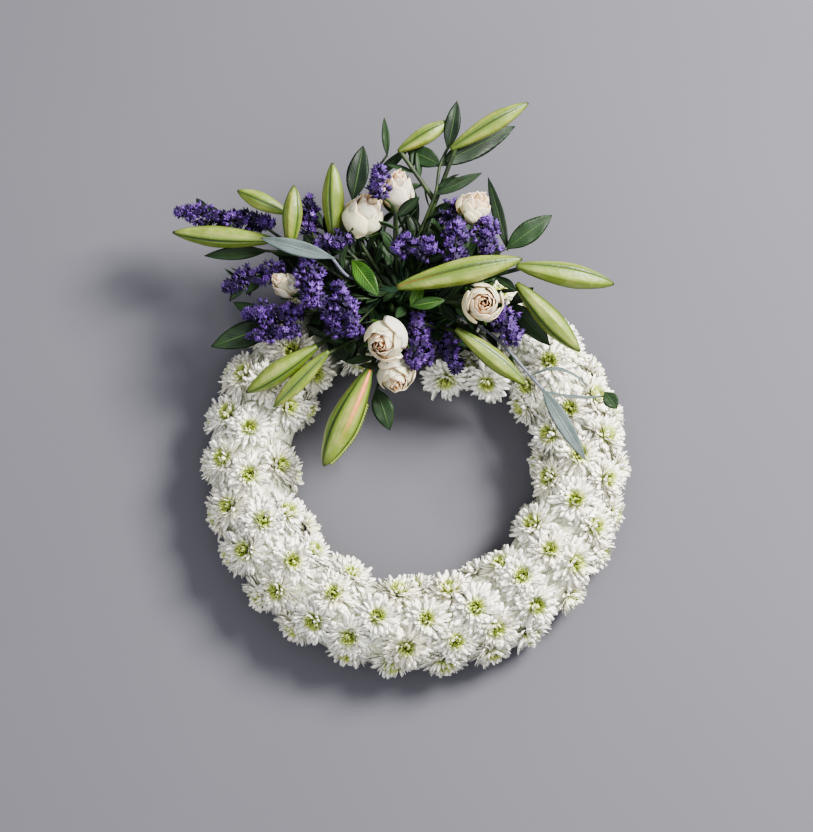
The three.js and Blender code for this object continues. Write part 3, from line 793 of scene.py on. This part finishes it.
def sprig(node, stem, leaves, radius=THIN_STEM, kind=dark_leaf, slot="green_leaves"):
    """A stem through some spots, with its leaves. Each leaf is (the spot it grows from, tip, width, lift),
    and may add the way that its face looks, where that isn't towards the view."""
    points = [spot(*place) for place in stem]
    shell = Shell("along", "across", "tone")
    for n, (on, tip, width, lift, *face) in enumerate(leaves):
        above = face[0] if face else to_camera
        tone = 0.5 + 0.5 * scatter(len(node) + 7 * n + name_number(node), 11)
        leaf(shell, points[on].lerp(spot(*tip), -0.05), spot(*tip), width, lift, above, LEAF_FOLD, tone)
    show(node + "_leaves", shell.mesh(node + "_leaves"), kind.material, slot, node)
    stems(node, [spray_path(points)], radius, silver_stalk if kind is silver_leaf else stalk, slot)


# The leaves under the spray.
# Broad dark leaves, laid over both edges of the ring where the spray leaves its top bare, with their ends
# held in the foam.
LOW_LEAVES = {0: [-10.5, -3.5, 3.5, 10.5], 1: [-10.5, -4], 11: [4, 10.5]}
LOW_ROOT = Vector((4, 0, 62))
LOW_WIDTH = 29


def low_tip(side, index):
    """How far out from the middle of the foam a low leaf's tip lies, and how high."""
    if side < 0:
        return 44 + 4 * scatter(index, 6), 57 + 3 * scatter(index, 7)
    return 84 + 12 * scatter(index, 6), 57 + 3 * scatter(index, 7) + 6


for sector, offsets in LOW_LEAVES.items():
    shell = Shell("along", "across", "tone")
    for step, offset in enumerate(offsets):
        turn = Quaternion(UP, math.radians(SPRAY_ANGLE + SECTOR * sector + offset))
        for side in (-1, 1):
            index = 10 * sector + 2 * step + side
            reach, height = low_tip(side, index)
            root = turn @ Vector((RING_RADIUS + side * LOW_ROOT.x, 0, LOW_ROOT.z))
            tip = turn @ Vector((RING_RADIUS + side * (reach + LOW_ROOT.x), 0, height))
            leaf(shell, root, tip, LOW_WIDTH, 5, UP, LEAF_FOLD, 0.5 + 0.5 * scatter(index, 8))
    name = f"chrysanthemums_{sector + 1:02d}_leaves"
    show(name, shell.mesh(name), dark_leaf.material, "green_leaves")

# The tucked leaves.
# Short leaves stripped from the stems, tucked over the foam block in a spiral, so that little of it shows
# between the stems.
TUCKED_LEAVES = 84
TUCKED_DROOPS = (0.1, 0.3, -0.15)


def small_leaf(name, droop):
    """A leaf of unit length along Z, for tucking in."""

    def at(across, along):
        half = 0.2 * through(LEAF_SHAPE, along)
        return Vector((-half * across, droop * along**2 + 0.3 * half * abs(across), along))

    return thin_sheet(name, 10, 4, at, 0.03)


leaf_shapes = set_of("tucked", [small_leaf(f"tucked_{i}", droop) for i, droop in enumerate(TUCKED_DROOPS)])
draw = random.Random(11)
tucked = []
for n in range(TUCKED_LEAVES):
    turn, out = n * GOLDEN_TURN, math.sqrt((n + 0.5) / TUCKED_LEAVES)
    reach = Vector((BLOCK_HALF.x * out * math.cos(turn), BLOCK_HALF.y * out * math.sin(turn), BLOCK_HALF.z))
    low = max(0, out - 0.6)
    root = to_spray @ (BLOCK_MIDDLE + reach * 0.98 - UP * low * draw.uniform(8, 70))
    heading = Vector((math.cos(turn), math.sin(turn), draw.uniform(0.05, 0.75) - 1.1 * low))
    facing = UP.rotation_difference((to_spray @ heading).normalized())
    spin = Quaternion(UP, draw.uniform(-1.0, 1.0))
    tucked.append((world_point(root), facing @ spin, draw.uniform(20, 31) * MM))
base = places_mesh("tucked_places", tucked)
grown = copies.grow("spray_foam_leaves", base, Seed=5, Shapes=leaf_shapes, Finish=dark_leaf.material)
show("spray_foam_leaves", grown, dark_leaf.material, "green_leaves")

# The lower sprigs.
# Leafy stems that go in first and lie low over the ring round three sides. The silvery one at the right is
# eucalyptus, with two narrow leaves that arch back from its stem and a small green leaf at its end.
ARCHED = (to_camera * 0.7 + Vector((0, 1, 0)) * 0.8).normalized()

sprig(
    "foliage_06",
    [(-92, 164, 79), (-138, 150, 90)],
    [(-1, (-203, 127, 88), 26, 4), (-1, (-182, 172, 84), 16, 2)],
)
sprig("foliage_07", [(-84, 219, 73), (-150, 224, 84)], [(-1, (-212, 219, 84), 14, 4)])
sprig("foliage_11", [(-38, 84, 82)], [(-1, (-25, 44, 72), 21, 4)])
sprig(
    "foliage_12",
    [(58, 148, 80), (96, 170, 100)],
    [(-1, (134, 128, 92), 20, 3), (-1, (118, 186, 104), 12, 4)],
)
sprig(
    "foliage_13",
    [(72, 142, 94), (116, 96, 97), (126, 84, 98)],
    [(-1, (168, 14, 92), 16, 5), (1, (172, 86, 101), 6, 15, ARCHED), (-1, (190, 78, 98), 6, -5, ARCHED)],
    kind=silver_leaf,
    slot="silver_leaves",
)
twig_leaf = Shell("along", "across", "tone")
leaf(twig_leaf, spot(187, 82, 99), spot(199, 65, 97), 15, 2, to_camera, LEAF_FOLD, 0.7)
show("foliage_13_tip", twig_leaf.mesh("foliage_13_tip"), dark_leaf.material, "green_leaves")

# The lily buds.
# Unopened lilies, one or two on a cut stem: three outer tepals closed edge to edge, each with a raised green
# rib, pale flanks and a dark groove where it meets the next.
BUD_SHAPE = [
    (0, 0.22), (0.06, 0.38), (0.14, 0.57), (0.4, 0.94), (0.62, 1), (0.84, 0.64), (0.95, 0.32), (1, 0.1),
]
BUD_ROWS, BUD_SIDES = 36, 48
FRILL_TEETH = 24

lily = Finish("lily_bud", Roughness=0.42, Subsurface_Weight=0.12, Subsurface_Scale=0.004)
along, seam, blush = lily.attribute("along"), lily.attribute("seam"), lily.attribute("blush")
flank = lily.mix(lily.between(lily.noise(60) + seam * 0.3, 0.4, 0.75), rgb(106, 124, 42), rgb(136, 144, 76))
flank = lily.mix(lily.between(lily.noise(14), 0.5, 0.68, 0, 0.55), flank, rgb(138, 120, 66))
flank = lily.mix(lily.between(seam, 0.72, 0.4), rgb(92, 114, 38), flank)
ripe = lily.mix(lily.between(along, 0.0, 0.3), rgb(84, 102, 36), flank)
ripe = lily.mix(lily.between(along, 0.86, 1.0, 0, 0.8), ripe, rgb(70, 80, 30))
ripe = lily.mix(lily.between(along, 0.965, 0.995, 0, 0.9), ripe, rgb(42, 36, 20))
grooved = lily.mix(lily.between(seam, 0.76, 0.97, 0, 0.92), ripe, rgb(42, 54, 18))
streaks = lily.noise(1.0, 3, lily.node("ShaderNodeCombineXYZ", [seam * 26, along * 2.4, seam]))
grooved = lily.mix(lily.between(streaks, 0.46, 0.66, 0, 0.5), grooved, rgb(74, 96, 30))
blushed = lily.mix(lily.between(blush, 0.25, 0.7, 0, 0.9), grooved, rgb(196, 104, 66))
lily.finish(blushed, None, lily.noise(240, 4), 0.0006)


def bud(shell, start, end, width, sag, tone, blush):
    """A bud from start to end, its section of three ribbed tepals. blush is how red one side is."""
    middle = (start + end) / 2 - UP * 2 * sag

    def at(along, side):
        point, heading = bow(start, middle, end, along)
        aside = heading.cross(to_camera).normalized()
        turn = 2 * math.pi * side
        phase = (3 * (turn / (2 * math.pi)) + tone) % 1
        seam = abs(2 * phase - 1)
        rib = max(0, 1 - seam / 0.16)
        groove = max(0, (seam - 0.8) / 0.2)
        fade = math.sin(math.pi * min(1, max(0, along * 0.98 + 0.01))) ** 0.4
        relief = 0.07 * rib - 0.16 * groove**1.2 - 0.05 * math.sin(math.pi * seam) ** 2
        reach = through(BUD_SHAPE, along) * width / 2 * (0.97 + fade * relief)
        bend = 0.25 * math.sin(2.2 * along + 2 * math.pi * tone)
        out = aside * (reach * math.cos(turn) + bend) + aside.cross(heading) * (reach * math.sin(turn))
        stripe = max(0, 1 - abs(side - 0.3) / 0.08)
        return point + out, (along, seam, blush * stripe * max(0, 1 - along * 0.9))

    shell.grid(BUD_ROWS, BUD_SIDES, at)


def frill(shell, start, end, width):
    """The toothed pale edge of a tepal that has begun to open."""
    aside = (end - start).normalized().cross(to_camera).normalized()

    def at(across, along):
        share = 0.3 + 0.66 * along
        edge = through(BUD_SHAPE, share) * width / 2
        tooth = 1.1 + 1.3 * abs(math.sin(FRILL_TEETH * math.pi * along))
        reach = edge * 0.9 + (across + 1) * 0.5 * (tooth + 1)
        return start.lerp(end, share) - aside * reach + to_camera * (1.5 - across), (0.35, 0.55, 0)

    shell.sheet(4 * FRILL_TEETH, 2, 0.8, at)


def lily_stem(node, *buds, via=(), fork=0.0, blush=0.0, frilled=False):
    """One or two buds on a stem. Each is (from, to, width, sag), and fork is the share of the stem's last
    stretch at which the second branches."""
    shell = Shell("along", "seam", "blush")
    ends = [(spot(*start), spot(*end)) for start, end, _, _ in buds]
    for n, ((start, end), (_, _, width, sag)) in enumerate(zip(ends, buds)):
        bud(shell, start, end, width, sag, 0.5 + 0.5 * scatter(name_number(node) + n, 12), blush)
    if frilled:
        frill(shell, *ends[0], buds[0][2])
    main = spray_path([*[spot(*place) for place in via], ends[0][0].lerp(ends[0][1], 0.08)])
    branches = [[main[-2].lerp(main[-1], fork), start.lerp(end, 0.03)] for start, end in ends[1:]]
    show(node + "_buds", shell.mesh(node + "_buds"), lily.material, "lily_buds", node)
    stems(node, [main, *branches], THICK_STEM)


lily_stem("lily_buds_01", ((-140, 234, 105), (-243, 242, 98), 22, 2))
lily_stem("lily_buds_02", ((-128, 261, 108), (-178, 284, 110), 19, 0), via=[(-70, 236, 84)])
lily_stem("lily_buds_03", ((-124, 224, 122), (-120, 287, 140), 20, 0))
lily_stem("lily_buds_04", ((-80, 229, 120), (-82, 309, 150), 22, 0))
lily_stem(
    "lily_buds_05",
    ((35, 324, 140), (113, 370, 150), 20, -2),
    ((-17, 322, 135), (35, 353, 137), 18, 0),
    fork=0.55,
)
lily_stem("lily_buds_06", ((-18, 184, 150), (105, 212, 158), 26, -2), blush=0.5)
lily_stem("lily_buds_07", ((100, 206, 140), (197, 189, 120), 25, 0))
lily_stem("lily_buds_08", ((100, 189, 125), (163, 122, 103), 24, 0), blush=0.35)
lily_stem("lily_buds_09", ((40, 144, 120), (110, 89, 95), 20, 0))
lily_stem("lily_buds_10", ((-97, 127, 108), (-167, 81, 91), 22, 0))
lily_stem("lily_buds_11", ((-85, 122, 110), (-140, 67, 92), 18, 0))
lily_stem("lily_buds_12", ((-45, 104, 118), (-90, 9, 98), 31, 0), blush=1.0, frilled=True)

# The roses.
# Cream spray roses with a peach heart, half open: petals wrapped one over the other in a spiral, the outer
# ones rolled back at their rims, on a calyx of five green sepals.
ROSE_PETALS = 15
ROSE_STEPS = 12
SEPALS = 5

rose_petal = Finish("rose_petals", Roughness=0.5, Subsurface_Weight=0.7, Subsurface_Scale=0.006)
rose_petal.shader.inputs["Subsurface Radius"].default_value = (1.0, 0.7, 0.5)
inner, along, tone = (rose_petal.attribute(value) for value in ("inner", "along", "tone"))
petal_cream = rose_petal.mix(tone, rgb(238, 216, 164), rgb(236, 210, 184))
petal_cream = rose_petal.mix(rose_petal.between(along, 0.5, 0.0), petal_cream, rgb(196, 198, 146))
petal_cream = rose_petal.mix(rose_petal.between(along, 0.9, 1.0, 0, 0.35), petal_cream, rgb(226, 172, 160))
petal_cream = rose_petal.mix(rose_petal.between(inner, 0.35, 0.95, 0, 0.85), petal_cream, rgb(236, 184, 134))
rose_petal.finish(petal_cream, None, rose_petal.noise(300), 0.0005)


def bloom(node, radius, openness, depth, to_scene):
    """The petals of a rose. An openness of 0 is a bud with its rims drawn in, and 1 is a bloom with its outer
    petals rolled back. to_scene turns a point of the bloom, seen along its own axis, to its place."""
    seed = name_number(node)
    shell = Shell("inner", "along", "tone")
    for n in range(ROSE_PETALS):
        share = n / (ROSE_PETALS - 1)
        petal_turn = n * GOLDEN_TURN + seed
        span = 3.0 - 1.0 * share
        rim = radius * (0.09 + 0.76 * share**0.8)
        top = radius * depth * (0.8 - (0.42 + 0.4 * openness) * share**1.7 + 0.03 * scatter(seed + n, 13))
        roll = max(0, share - 0.25) * (0.05 + 0.34 * openness) * (0.9 + 0.4 * scatter(seed + n, 15))
        draw_in = 0.16 + (1 - openness) * 0.2 + 0.24 * (1 - share)
        tone = 0.5 + 0.5 * scatter(seed + n, 14)

        def at(across, along):
            t = min(1, max(0, along)) * (1 - 0.2 * abs(across) ** 3)
            side = span / 2 * across * (0.5 + 0.5 * math.sin(math.pi * min(1, 0.12 + 0.6 * t)))
            foot = -radius * depth * (0.95 - 0.25 * (1 - share))
            bulge = 0.2 + 0.8 * math.sin(0.5 * math.pi * min(1, t * 1.35)) ** 0.8
            bulge += 0.16 * math.sin(math.pi * t)
            curl = max(0, t - 0.7) / 0.3 * (1 - 0.5 * across**2)
            reach = rim * bulge * (1 - draw_in * max(0, t - 0.5) / 0.5) + radius * roll * curl**1.5
            height = foot + (top - foot) * (t**0.9) - radius * roll * 0.9 * curl**2.2
            ruffle = 0.035 * radius * math.sin(7 * across + 9 * tone) * curl
            turn = petal_turn + side
            reach += ruffle + (0.02 * radius + 0.06 * rim) * across
            point = to_scene(reach * math.cos(turn), reach * math.sin(turn), height + ruffle)
            return point, (1 - share, along, tone)

        shell.sheet(ROSE_STEPS, ROSE_STEPS, 0.45, at)
    show(node + "_petals", shell.mesh(node + "_petals"), rose_petal.material, "rose_petals", node)


def rose(node, centre, facing, radius, openness, depth=1.0, via=()):
    """A rose on its stem, with its sepals."""
    middle = spot(*centre)
    aim = UP.rotation_difference(Vector(facing).normalized())
    bloom(node, radius, openness, depth, lambda x, y, z: aim @ Vector((x, y, z)) + middle)
    neck = aim @ Vector((0, 0, -0.85 * radius * depth)) + middle
    stems(node, [spray_path([*[spot(*place) for place in via], neck])], THICK_STEM)
    sepals = Shell("along", "across", "tone")
    for n in range(SEPALS):
        turn = 2 * math.pi * n / SEPALS + name_number(node)
        out = aim @ Vector((math.cos(turn), math.sin(turn), 0))
        root = middle + aim @ Vector((0, 0, -0.93 * radius * depth))
        tip = middle + out * radius * 0.98 + aim @ Vector((0, 0, -0.25 * radius * depth))
        leaf(sepals, root, tip, radius * 0.42, -radius * 0.22, aim @ UP, 0.1, 0.6)
    show(node + "_sepals", sepals.mesh(node + "_sepals"), bright_leaf.material, "green_leaves")


rose("rose_1", (-17, 284, 122), (0.1, 0.66, 0.74), 20.5, 0.15, 1.35)
rose("rose_2", (-50, 259, 140), (0.35, 0.6, 0.7), 24, 0.3, 1.28)
rose("rose_3", (61, 268, 119), (0.5, 0.5, 0.7), 21, 0.9)
rose("rose_4", (66, 169, 148), (0.1, -0.3, 0.94), 23, 0.75)
rose("rose_5", (-30, 131, 140), (-0.25, -0.5, 0.8), 25, 0.15, 1.05)
rose("rose_6", (-19, 96, 100), (0.1, -0.8, 0.55), 22, 0.4)
rose("rose_7", (-130, 189, 112), (-0.5, 0.2, 0.8), 14, 0.3, 1.8, [(-72, 162, 90)])

# The sea lavender.
# Spikes of dried violet calyces, each a papery five-lobed trumpet a few millimetres wide, some with a speck
# of white flower in it, packed all round the tip of a wiry stem.
SPIKE_SHAPE = [(0, 0.5), (0.25, 0.95), (0.5, 1), (0.75, 0.9), (1, 0.45)]
FLORETS_PER_MM = 2.2
USUAL_WIDTH = 20
FLORET_KINDS = 3
LOBES = 5
LOBED_LEVELS = (1, 2)
FLORET_ROOT = 3.0


def floret(name, mouth, flare):
    """A papery trumpet of unit length with a lobed rim, closed and thin, and a pale bead in its mouth."""
    points, faces, pale, sides = [], [], [], 2 * LOBES
    profile = [(0.12, 0, 0), (mouth, 1, 0), (mouth * 0.92, 1.03, 0.4), (0.15, 0.55, 0.5), (0.04, 0.92, 1)]
    for level, (radius, height, paleness) in enumerate(profile):
        for side in range(sides):
            lobe = 1 + (flare * (1 if side % 2 else -1) if level in LOBED_LEVELS else 0)
            turn = 2 * math.pi * side / sides
            points.append((radius * lobe * math.cos(turn), radius * lobe * math.sin(turn), height * lobe))
            pale.append(paleness)
    for level in range(len(profile) - 1):
        for side in range(sides):
            a, b = level * sides + side, level * sides + (side + 1) % sides
            faces.append((a, b, b + sides, a + sides))
    last = (len(profile) - 1) * sides
    faces += [tuple(reversed(range(sides))), tuple(range(last, last + sides))]
    return new_mesh(name, points, faces, pale=pale, along=[z for _, _, z in points])


lavender = Finish("sea_lavender", Roughness=0.7)
pale, along, tone = (lavender.attribute(value) for value in ("pale", "along", "tone"))
violet = lavender.mix(lavender.between(tone, 0.2, 0.9), rgb(32, 14, 58), rgb(98, 60, 142))
# Painted shade: each floret darkens to near black towards its foot and throat, deep among the others in the
# spike.
violet = lavender.mix(lavender.between(along, 0.2, 0.95), rgb(16, 8, 26), violet)
flowering = lavender.between(pale * 0.6 + tone * 0.55, 0.86, 1.05, 0, 0.85)
violet = lavender.mix(flowering, violet, rgb(186, 168, 208))
lavender.finish(violet, None, lavender.noise(900), 0.0004)
floret_meshes = [floret(f"floret_{i}", 0.42 + 0.08 * i, 0.16 + 0.05 * i) for i in range(FLORET_KINDS)]
floret_shapes = set_of("floret", floret_meshes)


def floret_places(start, end, width, seed, draw):
    """Where the florets of a spike sit, in tufts: (point, turn, size)."""
    heading = (end - start).normalized()
    aside = heading.cross(UP).normalized()
    over = aside.cross(heading)
    count = round((end - start).length * FLORETS_PER_MM * width / USUAL_WIDTH)
    places = []
    for n in range(count):
        share = -0.06 + 1.1 * (n + 0.5) / count
        turn = n * GOLDEN_TURN + draw.uniform(-0.4, 0.4)
        out = aside * math.cos(turn) + over * math.sin(turn)
        tuft = max(0.35, 0.8 + 0.5 * math.sin(11 * share + 2 * turn + seed))
        reach = through(SPIKE_SHAPE, min(1, max(0, share))) * width / 2 * draw.uniform(0.5, 1.05) * tuft
        facing = (out + heading * draw.uniform(0.1, 1.2)).normalized()
        point = start.lerp(end, share) + out * (reach - FLORET_ROOT)
        spin = Quaternion(UP, draw.uniform(0, 6.28))
        size = draw.uniform(4.4, 6.6) * MM
        places.append((world_point(point), UP.rotation_difference(facing) @ spin, size))
    return places


def spikes(node, *ends, via=()):
    """Spikes on a forked stem. Each is (from, to, width)."""
    seed = name_number(node)
    draw = random.Random(seed)
    pairs = [(spot(*start), spot(*end)) for start, end, _ in ends]
    places = []
    for (start, end), (_, _, width) in zip(pairs, ends):
        places += floret_places(start, end, width, seed, draw)
    base = places_mesh(node + "_places", places)
    grown = copies.grow(node + "_florets", base, Seed=seed, Shapes=floret_shapes, Finish=lavender.material)
    show(node + "_florets", grown, lavender.material, "sea_lavender", node)
    fork = pairs[0][0].lerp(pairs[0][1], 0.15)
    main = spray_path([*[spot(*place) for place in via], fork])
    paths = [main, [fork, pairs[0][0].lerp(pairs[0][1], 0.95)]]
    paths += [[fork, start.lerp(end, 0.15), start.lerp(end, 0.9)] for start, end in pairs[1:]]
    stems(node, paths, THIN_STEM)


spikes("statice_01", ((-145, 252, 90), (-235, 263, 92), 20))
spikes("statice_02", ((-132, 206, 101), (-187, 187, 99), 22))
spikes("statice_03", ((-112, 162, 108), (-166, 160, 108), 21), ((-114, 144, 107), (-160, 138, 106), 18))
spikes("statice_04", ((-98, 165, 128), (-108, 213, 134), 26))
spikes("statice_05", ((-58, 138, 122), (-76, 186, 128), 22), ((-74, 136, 118), (-90, 170, 122), 18))
spikes(
    "statice_06",
    ((2, 160, 114), (-1, 110, 115), 21),
    ((12, 150, 96), (12, 112, 94), 17),
    ((26, 146, 92), (40, 106, 92), 20),
)
spikes("statice_07", ((84, 165, 112), (98, 134, 112), 24))
spikes("statice_08", ((72, 218, 122), (72, 252, 128), 25))
spikes("statice_09", ((38, 209, 130), (42, 249, 138), 26), ((26, 250, 106), (40, 272, 108), 17))
spikes("statice_10", ((20, 224, 136), (-18, 226, 142), 24))
spikes("statice_11", ((-36, 272, 166), (-34, 300, 172), 20), via=[(-20, 262, 150)])
spikes("statice_12", ((-104, 240, 116), (-106, 272, 124), 19), ((-100, 228, 130), (-66, 233, 136), 15))
clear(floret_shapes)

# The upper sprigs.
# Leafy stems that go in last, between and behind the flowers: broad dark leaves at the top, the tall sprig
# beside them, one silvery leaf at the left, and fresh green ones in the middle.
sprig("foliage_01", [(-62, 276, 112)], [(-1, (-52, 329, 122), 22, 4)])
sprig(
    "foliage_02",
    [(20, 279, 122), (25, 309, 128), (33, 326, 132)],
    [
        (1, (-9, 326, 120), 20, 2),
        (1, (101, 350, 112), 24, 1),
        (0, (67, 301, 124), 12, 2),
        (-1, (42, 373, 142), 16, 4),
    ],
)
sprig(
    "foliage_03",
    [(-44, 294, 104), (-28, 320, 112)],
    [(-1, (-31, 359, 116), 8, 2), (0, (-4, 330, 108), 10, 4)],
    FINE_STEM,
)
sprig("foliage_04", [(-4, 236, 84)], [(-1, (-12, 306, 90), 24, 4)])
sprig("foliage_05", [(92, 226, 104)], [(-1, (137, 259, 108), 22, 4), (-1, (74, 300, 84), 12, 2)])
sprig(
    "foliage_08",
    [(-66, 196, 120), (-82, 214, 144)],
    [(-1, (-153, 234, 138), 16, 3)],
    kind=silver_leaf,
    slot="silver_leaves",
)
sprig("foliage_09", [(-50, 212, 106), (-62, 212, 120)], [(-1, (-36, 176, 126), 20, 4)], kind=bright_leaf)
sprig(
    "foliage_10",
    [(-4, 166, 134)],
    [(-1, (30, 172, 138), 13, 4), (-1, (8, 190, 136), 13, 4)],
    kind=bright_leaf,
)

# The leaves on the stems.
# The small leaves that the longer stems of the spray still carry between the foam and the flowers, left on
# by the florist to fill the shade. They stand out to the left and right of the stem by turns.
LEAF_SHARES = (0.34, 0.46, 0.58, 0.7)
LEAFY_LENGTH = 45

draw = random.Random(23)
on_stems = []
for line in spray_lines:
    if (line[-1] - line[0]).length < LEAFY_LENGTH:
        continue
    for step, share in enumerate(LEAF_SHARES):
        i = round(share * (len(line) - 1))
        forward = (line[i] - line[i - 1]).normalized()
        aside = forward.cross(UP).normalized() * (1 if step % 2 else -1)
        heading = forward * draw.uniform(0.4, 1.0) + aside * draw.uniform(0.4, 1.0)
        heading += UP * draw.uniform(-0.3, 0.25)
        facing = UP.rotation_difference(heading.normalized())
        spin = Quaternion(UP, draw.uniform(-1.2, 1.2))
        on_stems.append((world_point(line[i]), facing @ spin, draw.uniform(20, 33) * MM))
base = places_mesh("stem_leaf_places", on_stems)
grown = copies.grow("spray_stem_leaves", base, Seed=8, Shapes=leaf_shapes, Finish=dark_leaf.material)
show("spray_stem_leaves", grown, dark_leaf.material, "green_leaves")
clear(leaf_shapes)
